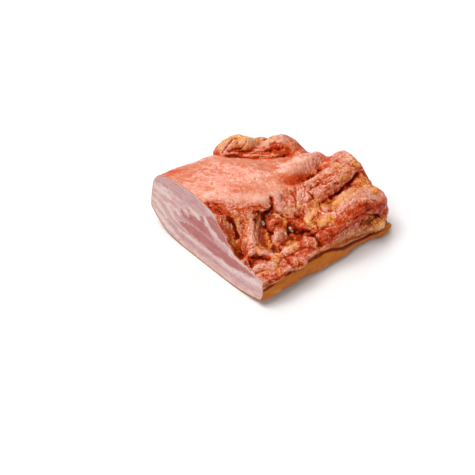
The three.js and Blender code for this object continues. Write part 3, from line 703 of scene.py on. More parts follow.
class PictureView:
    """The block as the camera sees it, for dropping strokes on it that are drawn over the picture."""

    def __init__(self, block):
        level = math.cos(VIEW_RISE)
        self.tree = BVHTree.FromObject(block, bpy.context.evaluated_depsgraph_get())
        self.back = Vector((math.sin(VIEW_TURN) * level, -math.cos(VIEW_TURN) * level, math.sin(VIEW_RISE)))
        self.right = Vector((math.cos(VIEW_TURN), math.sin(VIEW_TURN), 0))
        self.up = self.back.cross(self.right)
        self.eye = Vector((VIEW_TARGET + BLOCK_START) * MM) + self.back * VIEW_DISTANCE * MM

    def hit(self, across, down):
        """The place seen through a point of the picture, or None past the block's outline."""
        point = SENSOR / LENS / PICTURE
        sight = self.right * (across - PICTURE / 2) * point + self.up * (PICTURE / 2 - down) * point
        return self.tree.ray_cast(self.eye, sight - self.back)[0]

    def place(self, across, down):
        """The same in the block's measure, from the nearest point inside the outline where it is past it."""
        for reach in np.arange(0, OUTLINE_REACH, OUTLINE_STEP):
            for turn in np.arange(OUTLINE_TURNS) * 2 * math.pi / OUTLINE_TURNS:
                found = self.hit(across + reach * math.cos(turn), down + reach * math.sin(turn))
                if found is not None:
                    return np.array(found) / MM - BLOCK_START
        raise RuntimeError(f"a stroke at {across}, {down} misses the block")

    def dropped(self, rows):
        """Strokes with their paths on the block instead of over the picture."""
        return [([self.place(*point) for point in path], wide, much) for path, wide, much in rows]


# Patterns of the sculpted relief

def roughness(points, size, seed, octaves=3):
    """Fractal noise of about -1 to 1 whose lumps are size millimetres across; size may have three parts."""
    scaled = points / np.broadcast_to(size, 3) + seed * SEED_STEP
    basis = "PERLIN_ORIGINAL"
    return np.array([noise.fractal(p, 1.0, 2.0, octaves, noise_basis=basis) for p in scaled.tolist()])


def pillows(points, size, seed):
    """The soft creases between rounded bumps size millimetres across: 0.7 deep in them, below 0 on a bump."""
    return 1 - PILLOW_STEEP * np.sqrt(roughness(points, size, seed, octaves=2) ** 2 + PILLOW_ROUND ** 2)


def meandering(points, size, amount, seed):
    """Points moved about by so much, so that a pattern laid on them meanders. The block's operator has seeded
    this noise, which else starts from the clock."""
    scaled = points / size + seed
    return points + amount * np.array([noise.noise_vector(p) for p in scaled.tolist()])


def hand_drawn(points):
    """Points moved about a little, so that strokes over them get the uneven edges of grown meat."""
    return meandering(meandering(points, size=9, amount=2.2, seed=51), size=3.5, amount=1.2, seed=52)


class Surface:
    """A mesh's points in the block's measure, with their neighbours."""

    def __init__(self, mesh):
        count = len(mesh.vertices)
        places = np.empty(count * 3)
        mesh.vertices.foreach_get("co", places)
        normals = np.empty(count * 3)
        mesh.vertices.foreach_get("normal", normals)
        ends = np.empty(len(mesh.edges) * 2, int)
        mesh.edges.foreach_get("vertices", ends)
        self.mesh = mesh
        self.points = places.reshape(-1, 3) / MM - BLOCK_START
        self.normals = normals.reshape(-1, 3)
        self.ends = ends.reshape(-1, 2)
        self.neighbours = np.bincount(ends, minlength=count)

    def averaged(self, values, rounds):
        """Values, one row to a point, each round averaged with those of the neighbours."""
        first, second = self.ends.T
        count = len(self.points)
        for _ in range(rounds):
            sums = [
                np.bincount(first, column[second], count) + np.bincount(second, column[first], count)
                for column in values.T
            ]
            values = 0.5 * values + 0.5 * np.stack(sums, 1) / np.maximum(self.neighbours, 1)[:, None]
        return values

    def hollow(self, rounds):
        """How far each point lies below the average of its surroundings, in millimetres."""
        return ((self.averaged(self.points, rounds) - self.points) * self.normals).sum(1)

    def keep(self):
        """Writes the points back to the mesh."""
        self.mesh.vertices.foreach_set("co", ((self.points + BLOCK_START) * MM).ravel())
        self.mesh.update()

    def store(self, name, values):
        """Adds a number, or a row of three, for each point to the mesh, for the materials to read."""
        kind, key = ("FLOAT", "value") if values.ndim == 1 else ("FLOAT_VECTOR", "vector")
        layer = self.mesh.attributes.new(name, kind, "POINT")
        layer.data.foreach_set(key, values.astype(np.float32).ravel())


def broken_up(points):
    """1 where the meat is broken up into folds, and near 0 on the smooth top."""
    x, y, z = points.T
    front = ease(*EDGE_FADES, np.interp(x, *zip(*PLATEAU_EDGE)) - y)
    far_top = ease(*FAR_TOP_ALONG, x) * (1 - ease(*FAR_TOP_ACROSS, y))
    flap = ease(*FLAP_RISES, z) * ease(*FLAP_FADES, y + FLAP_SLANT * x - FLAP_FOLD)
    back = ease(*BACK_FROM, y + BACK_NEARER * ease(*BACK_COMES, x)) * (1 - ease(*BACK_TOP, z))
    sides = np.clip(back + ease(*END_FROM, x), 0, 1)
    plain = np.maximum.reduce([front, far_top * FAR_TOP_BREAK, flap * FLAP_BREAK, sides * SIDE_BREAK])
    muscle = 1 - ease(*MUSCLE_FADES, beside(points, MUSCLE)[0])
    return plain * (1 - MUSCLE_CALM * muscle * (1 - front))


def fold_grain(points):
    """Distances to the nearest and the next crest of the folds, and a place along and across the nearest."""
    nearest = np.full(len(points), np.inf)
    second = np.full(len(points), np.inf)
    grain = np.zeros((len(points), 3))
    for number, crest in enumerate(FOLDS):
        away, along, right = beside(points, crest)
        nearer = away < nearest
        second = np.where(nearer, nearest, np.minimum(second, away))
        nearest = np.where(nearer, away, nearest)
        stretch = LUMP_STRETCH if crest[0][0] < LUMPS_END else FOLD_STRETCH
        across = away * right / np.sqrt(right ** 2 + CREST_ROUNDING ** 2)
        apart = np.full(len(across), CRESTS_APART * number)
        grain[nearer] = np.stack([along / stretch, across, apart], 1)[nearer]
    return nearest, second, grain


def fold_relief(points, drifting, broken):
    """Height of the folds: round lumps, pillows with seams between them, and wrinkles along the crests."""
    x, y, _ = points.T
    nearest, second, grain = fold_grain(points)
    seams = np.exp(-(((second - nearest) / SEAM_WIDTH) ** 2)) * ease(*SEAM_FROM, nearest)
    seams *= 1 - ease(*SEAM_TO, nearest)
    lumpy = (1 - ease(*LUMPY_ALONG, x)) * (1 - ease(*LUMPY_ACROSS, y))
    bulge = np.exp(-((nearest / BULGE_REACH) ** 2)) * lumpy * ease(*BULGE_FROM, y)
    lumps = pillows(drifting, PILLOW, seed=1)
    crumple = pillows(drifting, CRUMPLE, seed=2)
    wrinkles = pillows(meandering(grain, size=7, amount=2.0, seed=42), WRINKLE, seed=3)
    follow = 1 - ease(*CREST_REACH, nearest)
    return broken * (
        BULGE * bulge - PILLOW_DEPTH * lumps - CRUMPLE_DEPTH * crumple - WRINKLE_DEPTH * follow * wrinkles
        - (SEAM_DEPTH + LUMP_SEAM_DEPTH * lumpy) * seams
    )


def sculpt(surface, view, sizes):
    """Cuts the creases, raises the crests and works the fine relief into the block."""
    points = surface.points
    x, y, z = points.T
    level = rind_level(points)[1]
    under = ease(*TURNED_UNDER, surface.normals[:, 2])
    band = (1 - ease(RIND_BAND, RIND_BAND + BAND_FADE, level)) * (1 - under)
    broken = broken_up(points)
    meat = (1 - band) * (1 - under)
    drawn = hand_drawn(points)
    crags = broken * meat * (1 - strokes(drawn, view.dropped(TIGHT_SKIN)))
    smooth_top = (1 - broken) * meat

    drifting = meandering(points, size=11, amount=3.5, seed=41)
    relief = fold_relief(points, drifting, crags * sizes.fold_relief)
    waves = WAVE_HEIGHT * roughness(points, TOP_WAVE, seed=4)
    relief += smooth_top * (waves + DIMPLE_HEIGHT * roughness(drifting, TOP_DIMPLE, seed=5))
    lumps = RIND_LUMP_HEIGHT * roughness(points, RIND_LUMP, seed=6)
    relief += band * (lumps + RIND_LAYER_HEIGHT * roughness(points, RIND_LAYER, seed=7))
    relief += UNDER_HEIGHT * under * ease(*UNDER_FROM, z) * roughness(points, UNDER_LUMP, seed=8)
    pits = np.clip(roughness(points, PIT, seed=9, octaves=2) - PIT_SHARE, 0, 1) * PIT_DEPTH
    relief -= smooth_top * ease(*PITS_FROM, x + y / 2) * pits

    # The muscle that bulges out beside the flap is striped across by its fibres.
    away, along, right = beside(points, MUSCLE)
    stripes = pillows(np.stack([along, right / STRIPE_LENGTH, np.zeros(len(x))], 1), STRIPE, seed=21)
    relief -= STRIPE_DEPTH * stripes * (1 - ease(*STRIPE_FADES, away)) * ease(*STRIPES_FROM, x)
    # The groove over the rind band is swollen nearly shut, and stays narrow and sharp.
    beyond_cut = (1 - under) * ease(*GROOVE_FROM, x)
    over_line = level - RIND_BAND - GROOVE_OVER + GROOVE_DROP * line_drop(x, y)
    relief += SWELL_HEIGHT * np.exp(-(((over_line - SWELL_OVER) / SWELL_WIDTH) ** 2)) * beyond_cut
    relief -= GROOVE_DEPTH * np.exp(-((over_line / GROOVE_WIDTH) ** 2)) * beyond_cut

    relief -= sizes.crease_depth * strokes(drawn, view.dropped(CREASES), sharp=2.0)
    relief += strokes(drawn, view.dropped(RAISED), sharp=2.0)
    off_table = ease(*OFF_TABLE, z)
    points += surface.normals * (relief * off_table)[:, None]
    points[:, 2] = np.maximum(points[:, 2], 0)


def stain_and_shade(surface, view):
    """Stores where the crust is smoked dark, golden, pale, hollow, crumpled, fat or rind, and where painted
    shade darkens it and painted light brightens it.
    """
    points = surface.points
    x, y, z = points.T
    above, level = rind_level(points)
    under = ease(*RIND_UNDER, surface.normals[:, 2]) * (1 - ease(*RIND_UNDER_TO, above))
    broken = broken_up(points)
    hollow = sum(share * surface.hollow(rounds) for rounds, share in HOLLOWS)

    patches = roughness(points, PATCH, seed=11, octaves=2)
    blots = roughness(points, BLOT, seed=12)
    drawn = hand_drawn(points)
    # Dark stains, and painted shade in creases and under overhangs.
    dark = strokes(drawn, view.dropped(DARK_STAINS_AND_SHADE))
    smoke = SMOKE + BROKEN_SMOKE * broken
    smoke = smoke + PATCH_SMOKE * patches * (TOP_PATCHES + broken) + BLOT_SMOKE * blots * broken
    smoke = smoke + STAIN_AND_SHADE * dark * (STAIN_AND_SHADE_EVEN + STAIN_AND_SHADE_BLOTS * blots)
    # Pale spots, and painted sheen and light on folds turned from the lamps.
    smoke = smoke - PALE_AND_SHEEN * strokes(drawn, view.dropped(PALE_SPOTS_AND_SHEEN))
    nearest, _, grain = fold_grain(points)
    # Painted shade down the valleys between the crests, and painted light along the crests.
    smoke += VALLEY_SHADE * (ease(*VALLEY, nearest) - 0.5) * broken
    # The back side and the far end are smoother, and smoked a little darker.
    far_end = ease(*FACES_FAR, surface.normals[:, 0]) * ease(*FAR_END, x)
    outer = np.maximum(1 - ease(*BACK_FADES, BACK_EDGE - y + BACK_SLANT * x), far_end)
    smoke += OUTER_SMOKE * outer
    # Rendered fat, and at some strokes painted light on folds in shade.
    gold = strokes(drawn, view.dropped(GOLDEN_FAT_AND_LIGHT))
    stray = ease(*STRAY_FROM, roughness(points, STRAY_FAT, seed=13)) * broken
    stray = STRAY_SHARE * stray * (1 - STAIN_AND_SHADE_LESS * dark) * (1 - OUTER_LESS * outer)

    # Up the side: rind band, the dark line in the groove, and the fat band up to where the meat starts.
    ragged = roughness(points, RAGGED_EDGE, seed=14, octaves=2)
    front = 1 - ease(*FRONT_SIDE, y)
    fat_top = front * np.interp(x, *zip(*FAT_BAND_TOP)) + (1 - front) * BACK_FAT_TOP
    over_line = above - LINE_TOP * band_scale(x, y)
    lower = line_drop(x, y)
    rind = 1 - ease(*RIND_EDGE, level - LINE_FOOT + FOOT_DROP * lower + FOOT_RAGGED * ragged)
    patterns = {
        "smoke": smoke,
        "gold": np.maximum(gold, stray),
        # Cream fat, and painted glints on wet edges.
        "cream": strokes(points, view.dropped(CREAM_FAT_AND_GLINTS)),
        "hollow": np.clip(hollow, *HOLLOW_RANGE),
        "crumpled": (TOP_CRUMPLED + (1 - TOP_CRUMPLED) * broken) * (1 - OUTER_SMOOTHER * outer),
        "follow": broken * (1 - ease(*CREST_REACH, nearest)),
        "height": np.clip(level / RIND_BAND, 0, 2),
        "grain": grain * MM,
        "fat": 1 - ease(*FAT_EDGE, over_line - fat_top + FAT_RAGGED * ragged),
        "line": 1 - ease(*LINE_EDGE, level - LINE_TOP + TOP_DROP * lower + TOP_RAGGED * ragged),
        "rind": np.maximum.reduce([rind, under, strokes(points, view.dropped(BARE_RIND))]),
    }
    for name, values in patterns.items():
        surface.store(name, values)


def marble(surface, rim):
    """Stores how deep each point of the cut face lies in lean meat, in deep red lean and in white fat."""
    flat = surface.points[:, 1:]
    surface.store("lean", layer_depth(flat, LEAN_LAYERS))
    surface.store("deep_lean", layer_depth(flat, DEEP_LEAN))
    surface.store("white_fat", layer_depth(flat, WHITE_FAT))
    surface.store("from_rim", rim)


# Materials

# Where nearly all values of a noise lie.
NOISE = (0.3, 0.7)

# How far a pattern changes something, as its low and high value and what these become, or 0 and 1.
# Crust: how dark it looks by its mottling, speckle and grain, with painted shade in its creases, fine creases
# and hollows, and painted light on the crests and bumps between them.
MOTTLE_TINT, SPECKLE_TINT, GRAIN_TINT = (*NOISE, -0.08, 0.08), (*NOISE, -0.07, 0.07), (*NOISE, -0.07, 0.07)
CREASE_SHADE, FINE_CREASE_SHADE = (0.0, 1.0, -0.07, 0.13), (0.0, 1.0, -0.13, 0.20)
HOLLOW_SHADE = (-0.9, 1.3, -0.30, 0.50)
CREASE_WIDTH, FINE_WIDTH, CREASE_BUMP, GRAIN_BUMP = 0.11, 0.12, 0.6, 0.6
# Fat: rendered on the crests rather than in the creases, flecks of it, and cream fat and painted glints with
# ragged edges.
CREST_FAT, GOLD_SHARE, FLECK_SHARE = (0.0, 1.0, 0.15, -0.25), (0.2, 0.75), (0.58, 0.72, 0.0, 0.12)
CREAM_RAGGED, CREAM_SHARE, FAT_BAND_SHARE = (*NOISE, -0.15, 0.15), (0.35, 0.65), 0.85
LEATHER_SHARE, UPPER_RIND = (0.25, 0.75), (0.45, 0.95, 0.0, 0.9)
# Sheen: roughness by speckle and hollows, and the wetness of pale skin, with none on the rind.
CRUST_ROUGHNESS, HOLLOW_ROUGHNESS = (*NOISE, 0.40, 0.55), (0.0, 1.0, 0.0, 0.2)
WETNESS, DRY_RIND = (0.3, 0.75, 0.8, 0.12), (0.0, 1.0, 1.0, 0.0)
# The cut: how far the layers' edges wander, how soft they are and how full their colours, in millimetres in
# from the edge, and its rim, in millimetres from the outline.
MARBLING_RAGGED, STREAK_RAGGED, RIM_RAGGED = (*NOISE, -1.4, 1.4), (*NOISE, -1.0, 1.0), (*NOISE, -0.35, 0.35)
LEAN_EDGE, DEEP_EDGE, WHITE_EDGE = (-1.0, 1.0, 0.0, 0.9), (-0.7, 0.9, 0.0, 0.95), (-0.6, 0.8, 0.0, 0.9)
RIM_FAT_EDGE, RIM_SKIN_AND_SHADOW_EDGE, CUT_ROUGHNESS = (2.6, 1.0, 0.0, 0.6), (1.0, 0.4), (*NOISE, 0.32, 0.46)


def add(tree, kind, inputs=(), stops=(), output=0, **settings):
    """Adds a shader node with its settings, its inputs as values or links, in order or by slot, and a ramp's
    colour stops. Gives back the output that is read."""
    made = tree.nodes.new("ShaderNode" + kind)
    for name, value in settings.items():
        setattr(made, name, value)
    for slot, value in inputs.items() if isinstance(inputs, dict) else enumerate(inputs):
        if isinstance(value, bpy.types.NodeSocket):
            tree.links.new(value, made.inputs[slot])
        else:
            made.inputs[slot].default_value = value
    if stops:
        marks = made.color_ramp.elements
        while len(marks) < len(stops):
            marks.new(0.5)
        for mark, (place, colour) in zip(marks, stops):
            mark.position = place
            mark.color = colour
    return made.outputs[output] if made.outputs else None


def per_mm(size):
    """Noise scale, for Object coordinates in metres, whose pattern is so many millimetres across."""
    return 1000.0 / size


def blank_material(name):
    """An empty material, and what adds nodes to it."""
    material = bpy.data.materials.new(name)
    material.use_nodes = True
    material.node_tree.nodes.clear()
    return material, partial(add, material.node_tree)


def smoked_crust(colours):
    """Cured pork browned by hot smoking. Its skin is tight and moist, salmon where thin and mahogany where the
    smoking settled, golden where fat rendered out, with a soft gleam on every wrinkle; painted shade darkens
    its creases and hollows, and painted light brightens its crests. The rind is tanned leather: orange-brown,
    matter, with a dark line where it meets the fat."""
    material, node = blank_material("smoked_crust")
    place = node("TexCoord", output="Object")
    along_folds = node("Attribute", attribute_name="grain", output="Vector")
    read = {
        name: node("Attribute", attribute_name=name, output="Fac")
        for name in (
            "smoke", "gold", "cream", "hollow", "crumpled", "follow", "fat", "line", "rind", "height",
        )
    }
    # Mottling of the crust, its crumple, the fine wrinkles along the folds, and speckle and grain of its
    # skin.
    mottle, crumple, wrinkles, speckle, grain = [
        node("TexNoise", {"Vector": where, "Scale": per_mm(size), "Detail": detail, "Distortion": swirl})
        for where, size, detail, swirl in (
            (place, MOTTLE, 4.0, 0.0), (place, FINE_CRUMPLE, 2.5, 1.0), (along_folds, FINE_WRINKLE, 2.5, 1.0),
            (place, SPECKLE, 3.0, 0.0), (place, GRAIN, 3.0, 0.0),
        )
    ]
    crumple = node("Mix", {0: read["follow"], 2: crumple, 3: wrinkles}, data_type="FLOAT")

    # A crease runs wherever a pattern passes its middle value.
    creases = []
    for pattern, half_width in ((crumple, CREASE_WIDTH), (speckle, FINE_WIDTH)):
        from_middle = node("Math", [node("Math", (pattern, -0.5))], operation="ABSOLUTE")
        creases.append(node("MapRange", (from_middle, 0.0, half_width, 1.0, 0.0)))
    coarse, fine = creases

    # How dark the crust is, from 0, pale, to 1, black, by its smoking, with painted shade in the creases and
    # hollows and painted light on the crests and bumps.
    folds = node("Math", [
        node("MapRange", (coarse, *CREASE_SHADE)), node("MapRange", (fine, *FINE_CREASE_SHADE)),
    ])
    grains = node("MapRange", (grain, *GRAIN_TINT))
    depth = read["smoke"]
    for share in (
        node("MapRange", (mottle, *MOTTLE_TINT)),
        # Painted shade in the creases of the crumpled skin.
        node("Math", (folds, read["crumpled"]), operation="MULTIPLY"),
        node("MapRange", (speckle, *SPECKLE_TINT)),
        node("Math", (grains, read["crumpled"]), operation="MULTIPLY"),
        # Painted shade in the hollows and painted light on the bumps.
        node("MapRange", (read["hollow"], *HOLLOW_SHADE)),
    ):
        depth = node("Math", (depth, share))
    crust = node("ValToRGB", [depth], stops=(
        (0.0, colours.pale_crust), (0.25, colours.salmon_crust), (0.5, colours.red_crust),
        (0.75, colours.brown_crust), (1.0, colours.black_crust),
    ))

    # Over the crust lie rendered fat and flecks of it, the fat band, the dark line, the rind, and cream fat
    # with painted glints.
    tan = node("ValToRGB", [depth], stops=(
        (0.05, colours.light_gold), (0.35, colours.gold), (0.62, colours.deep_gold),
        (0.95, colours.black_crust),
    ))
    rendered = node("Math", (read["gold"], node("MapRange", (coarse, *CREST_FAT))))
    flecks = node("MapRange", (speckle, *FLECK_SHARE))
    golden = node("Math", (node("MapRange", (rendered, *GOLD_SHARE)), flecks), operation="MAXIMUM")
    fat_band = node("ValToRGB", [depth], stops=(
        (0.0, colours.light_gold), (0.45, colours.fat_band), (0.85, colours.brown_crust),
    ))
    banded = node("Math", (read["fat"], FAT_BAND_SHARE), operation="MULTIPLY")
    leather = node("ValToRGB", [node("MapRange", (mottle, *LEATHER_SHARE))], stops=(
        (0.0, colours.dark_rind), (0.5, colours.rind), (1.0, colours.light_rind),
    ))
    upper = node("MapRange", (read["height"], *UPPER_RIND))
    leather = node("Mix", {0: upper, 6: leather, 7: colours.top_rind}, data_type="RGBA", output=2)
    creamy = node("Math", (read["cream"], node("MapRange", (grain, *CREAM_RAGGED))))
    creamy = node("MapRange", (creamy, *CREAM_SHARE))
    for share, top in (
        (golden, tan), (banded, fat_band), (read["line"], colours.groove), (read["rind"], leather),
        (creamy, colours.cream_fat_and_glint),
    ):
        crust = node("Mix", {0: share, 6: crust, 7: top}, data_type="RGBA", output=2)

    # The pale skin is wet. Deeply smoked meat and the rind are dry.
    dull = node("MapRange", (speckle, *CRUST_ROUGHNESS))
    dull = node("Math", (dull, node("MapRange", (read["hollow"], *HOLLOW_ROUGHNESS))))
    wet = node("MapRange", (depth, *WETNESS))
    wet = node("Math", (wet, node("MapRange", (read["rind"], *DRY_RIND))), operation="MULTIPLY")
    coarse, fine, grain = [
        node("Math", (pattern, height), operation="MULTIPLY")
        for pattern, height in ((coarse, -CREASE_BUMP), (fine, -CREASE_BUMP), (grain, GRAIN_BUMP))
    ]
    relief = node("Math", (node("Math", (coarse, fine)), read["crumpled"]), operation="MULTIPLY")
    relief = node("Math", (relief, grain))
    surface = node("BsdfPrincipled", {
        "Base Color": crust,
        "Roughness": dull,
        "Normal": node("Bump", {"Strength": 0.8, "Distance": 1.0 * MM, "Height": relief}),
        "IOR": 1.44,
        "Specular IOR Level": 0.12,
        "Coat Weight": wet,
        "Coat Roughness": 0.13,
        "Coat IOR": 1.42,
        "Subsurface Weight": 0.05,
        "Subsurface Radius": (1.0, 0.4, 0.2),
        "Subsurface Scale": 1.2 * MM,
    })
    node("OutputMaterial", {"Surface": surface})
    return material


def sliced_belly(colours):
    """The knife's cut through cured belly. Lean and fat lie in soft layers over the rind: mauve and rose
    lean, pink-white fat with blurred streaks between them, smooth and slightly wet."""
    material, node = blank_material("sliced_belly")
    place = node("TexCoord", output="Object")
    # Streaks lie along the layers, so their pattern is drawn out along the face.
    drawn_out = node("Mapping", {"Vector": place, "Scale": (STREAK_STRETCH, STREAK_STRETCH, 1.0)})
    streaks, marbling, fibre = [
        node("TexNoise", {"Vector": where, "Scale": per_mm(size), "Detail": detail, "Distortion": swirl})
        for where, size, detail, swirl in (
            (drawn_out, STREAK, 4.0, 0.6), (place, MARBLING, 4.0, 1.2), (place, GRAIN, 2.0, 0.0),
        )
    ]
    ragged = node("Math", [
        node("MapRange", (marbling, *MARBLING_RAGGED)), node("MapRange", (streaks, *STREAK_RAGGED)),
    ])
    face = node("ValToRGB", [streaks], stops=(
        (0.30, colours.pink_fat), (0.5, colours.plain_fat), (0.70, colours.white_fat),
    ))
    lean = node("ValToRGB", [streaks], stops=(
        (0.30, colours.rose_lean), (0.55, colours.pale_lean), (0.75, colours.pink_fat),
    ))
    deep = node("ValToRGB", [streaks], stops=((0.30, colours.deep_lean), (0.70, colours.rose_lean)))
    # The layers lie over the plain fat.
    for name, top, edge in (
        ("lean", lean, LEAN_EDGE), ("deep_lean", deep, DEEP_EDGE),
        ("white_fat", colours.white_fat, WHITE_EDGE),
    ):
        inside = node("Math", (node("Attribute", attribute_name=name, output="Fac"), ragged))
        share = node("MapRange", (inside, *edge))
        face = node("Mix", {0: share, 6: face, 7: top}, data_type="RGBA", output=2)

    # The smoked skin shows as a thin rim round the face, and as a brown line under the fat that is widened into
    # painted shadow along the bottom edge.
    from_rim = node("Attribute", attribute_name="from_rim", output="Fac")
    rim = node("Math", (from_rim, node("MapRange", (fibre, *RIM_RAGGED))))
    for top, edge in ((colours.rim_fat, RIM_FAT_EDGE), (colours.rim_skin_and_shadow, RIM_SKIN_AND_SHADOW_EDGE)):
        share = node("MapRange", (rim, *edge))
        face = node("Mix", {0: share, 6: face, 7: top}, data_type="RGBA", output=2)

    relief = node("Math", (fibre, streaks))
    surface = node("BsdfPrincipled", {
        "Base Color": face,
        "Roughness": node("MapRange", (fibre, *CUT_ROUGHNESS)),
        "Normal": node("Bump", {"Strength": 0.25, "Distance": 0.4 * MM, "Height": relief}),
        "IOR": 1.44,
        "Subsurface Weight": 0.15,
        "Subsurface Radius": (1.0, 0.5, 0.4),
        "Subsurface Scale": 2.0 * MM,
    })
    node("OutputMaterial", {"Surface": surface})
    return material


def pale_table(colours):
    """A matt white table top: no sheen, only the soft shadow shows."""
    material, node = blank_material("pale_table")
    surface = node("BsdfPrincipled", {
        "Base Color": colours.table, "Roughness": 0.9, "Specular IOR Level": 0.1,
    })
    node("OutputMaterial", {"Surface": surface})
    return material


# Settings

def colour_setting(name, hex_colour, description):
    """A colour that a user may change, given as sRGB hex."""
    return FloatVectorProperty(
        name=name, description=description, subtype="COLOR", size=4, min=0, max=1, default=linear(hex_colour)
    )


def power_setting(name, watts, description):
    """The power of a lamp that a user may change."""
    return FloatProperty(
        name=name, description=description, default=watts, min=0, subtype="POWER", unit="POWER"
    )


class BellySizes(PropertyGroup):
    """Sizes of the sculpted block."""

    fineness: FloatProperty(
        name="Fineness", description="Size of the squares that the block is modelled in",
        default=0.97 * MM, min=0.6 * MM, max=3 * MM, subtype="DISTANCE", unit="LENGTH",
    )
    softening: IntProperty(
        name="Softening", description="Rounds of smoothing of the meat before it is sculpted",
        default=15, min=0, max=60,
    )
    rind_softening: IntProperty(
        name="Rind softening", description="Rounds of smoothing of the whole block, whose rind stays crisp",
        default=3, min=0, max=60,
    )
    fold_relief: FloatProperty(
        name="Fold relief", description="Height of the lumps and wrinkles of the folds, in millimetres",
        default=0.95, min=0, max=3,
    )
    crease_depth: FloatProperty(
        name="Crease depth", description="Share of their listed depth that the creases are cut in",
        default=1.1, min=0, max=2, subtype="FACTOR",
    )
    face_grid: FloatProperty(
        name="Face grid", description="Spacing of the points on the cut face that carry the marbling",
        default=1.5 * MM, min=0.5 * MM, max=10 * MM, subtype="DISTANCE", unit="LENGTH",
    )
    underside_share: FloatProperty(
        name="Faces kept", description="Share of all faces that is left once the underside has been thinned",
        default=0.75, min=0.5, max=1, subtype="FACTOR",
    )


class BellyColours(PropertyGroup):
    """Colours of the crust, the rind, the cut face and the table."""

    pale_crust: colour_setting("Pale crust", "#edaf9c", "Crust that the smoke hardly touched")
    salmon_crust: colour_setting("Salmon crust", "#db8868", "The smooth top")
    red_crust: colour_setting("Red crust", "#cf4e20", "Browned folds")
    brown_crust: colour_setting("Brown crust", "#b93606", "Heavily smoked meat")
    # Reached at the bottom of the creases, where the smoke stain and painted shade add up.
    black_crust: colour_setting("Dark crust", "#661200", "The bottom of the creases")
    light_gold: colour_setting("Light gold", "#f0a660", "Rendered fat on the crests")
    gold: colour_setting("Gold", "#e48a40", "Rendered fat")
    deep_gold: colour_setting("Deep gold", "#b4520c", "Rendered fat in the hollows")
    # Also the colour of painted glints on wet edges.
    cream_fat_and_glint: colour_setting("Cream fat", "#f0d4b0", "Beads and rims of soft fat")
    fat_band: colour_setting("Fat band", "#c8763c", "Smoked fat over the groove")
    groove: colour_setting("Groove", "#8e2c02", "Dark line over the rind")
    top_rind: colour_setting("Top of the rind", "#d87a1c", "Amber edge of the rind under the dark line")
    light_rind: colour_setting("Light rind", "#de9044", "Worn, lighter rind")
    rind: colour_setting("Rind", "#ce742c", "Tanned rind")
    dark_rind: colour_setting("Dark rind", "#bc6222", "Darker patches of the rind")
    white_fat: colour_setting("White fat", "#d8beb8", "Fat streaks of the cut")
    plain_fat: colour_setting("Plain fat", "#caa29c", "Fat of the cut")
    pink_fat: colour_setting("Pink fat", "#c18f8a", "Fat with lean running through it")
    pale_lean: colour_setting("Pale lean", "#c19496", "Mauve lean of the thick side")
    rose_lean: colour_setting("Rose lean", "#b3706a", "Lean of the middle")
    deep_lean: colour_setting("Deep lean", "#a4504e", "Dark lean bands")
    rim_fat: colour_setting("Rim fat", "#dcae94", "Smoked fat just inside the rim")
    # Also painted shadow along the bottom edge of the cut.
    rim_skin_and_shadow: colour_setting("Rim skin", "#9c5230", "Smoked skin at the rim of the cut")
    table: colour_setting("Table", "#e6e6e6", "Table top")


class BellyStage(PropertyGroup):
    """Table, light and camera."""

    table_size: FloatProperty(
        name="Table size", description="Side of the square table top",
        default=30.0, min=1, subtype="DISTANCE", unit="LENGTH",
    )
    key_light: FloatProperty(
        name="Key light", description="Strength of the high, very soft light from the back left",
        default=2.6, min=0,
    )
    back_light: power_setting("Back light", 4.4, "Soft light behind, which gleams on the smooth top")
    gleam_light: power_setting("Gleam light", 5.0, "Small light overhead, which glints on the wet folds")
    fill_light: power_setting("Fill light", 6.0, "Soft light from the front")
    side_light: power_setting("Side light", 4.4, "Soft light from the right, which opens up the shadows")
    sky: FloatProperty(
        name="Surrounding light", description="Strength of the white light from all round",
        default=0.14, min=0,
    )
    camera_turn: FloatProperty(
        name="Camera turn", description="Direction of the camera round the block",
        default=VIEW_TURN, subtype="ANGLE", unit="ROTATION",
    )
    camera_rise: FloatProperty(
        name="Camera rise", description="Height of the camera over the table as an angle",
        default=VIEW_RISE, subtype="ANGLE", unit="ROTATION",
    )
    camera_distance: FloatProperty(
        name="Camera distance", description="Distance from the camera to the point that it looks at",
        default=VIEW_DISTANCE * MM, min=0.2, subtype="DISTANCE", unit="LENGTH",
    )
    camera_lens: FloatProperty(
        name="Lens", description="Focal length in millimetres on a 36 mm wide sensor", default=LENS, min=10,
    )
    look_at: FloatVectorProperty(
        name="Look at", description="Point on the table that the camera looks at",
        default=(VIEW_TARGET + BLOCK_START) * MM, subtype="XYZ", unit="LENGTH",
    )


# Pieces

def only(piece):
    """Selects one object and makes it the active one."""
    bpy.ops.object.select_all(action="DESELECT")
    piece.select_set(True)
    bpy.context.view_layer.objects.active = piece


def group_points(piece, name, chosen):
    """Puts the chosen points of a piece in a vertex group."""
    group = piece.vertex_groups.new(name=name)
    group.add(np.flatnonzero(chosen).tolist(), 1.0, "REPLACE")


def apply_modifier(piece, kind, **settings):
    """Adds a modifier with its settings and applies it."""
    modifier = piece.modifiers.new(kind.title(), kind)
    for name, value in settings.items():
        setattr(modifier, name, value)
    bpy.ops.object.modifier_apply(modifier=modifier.name)


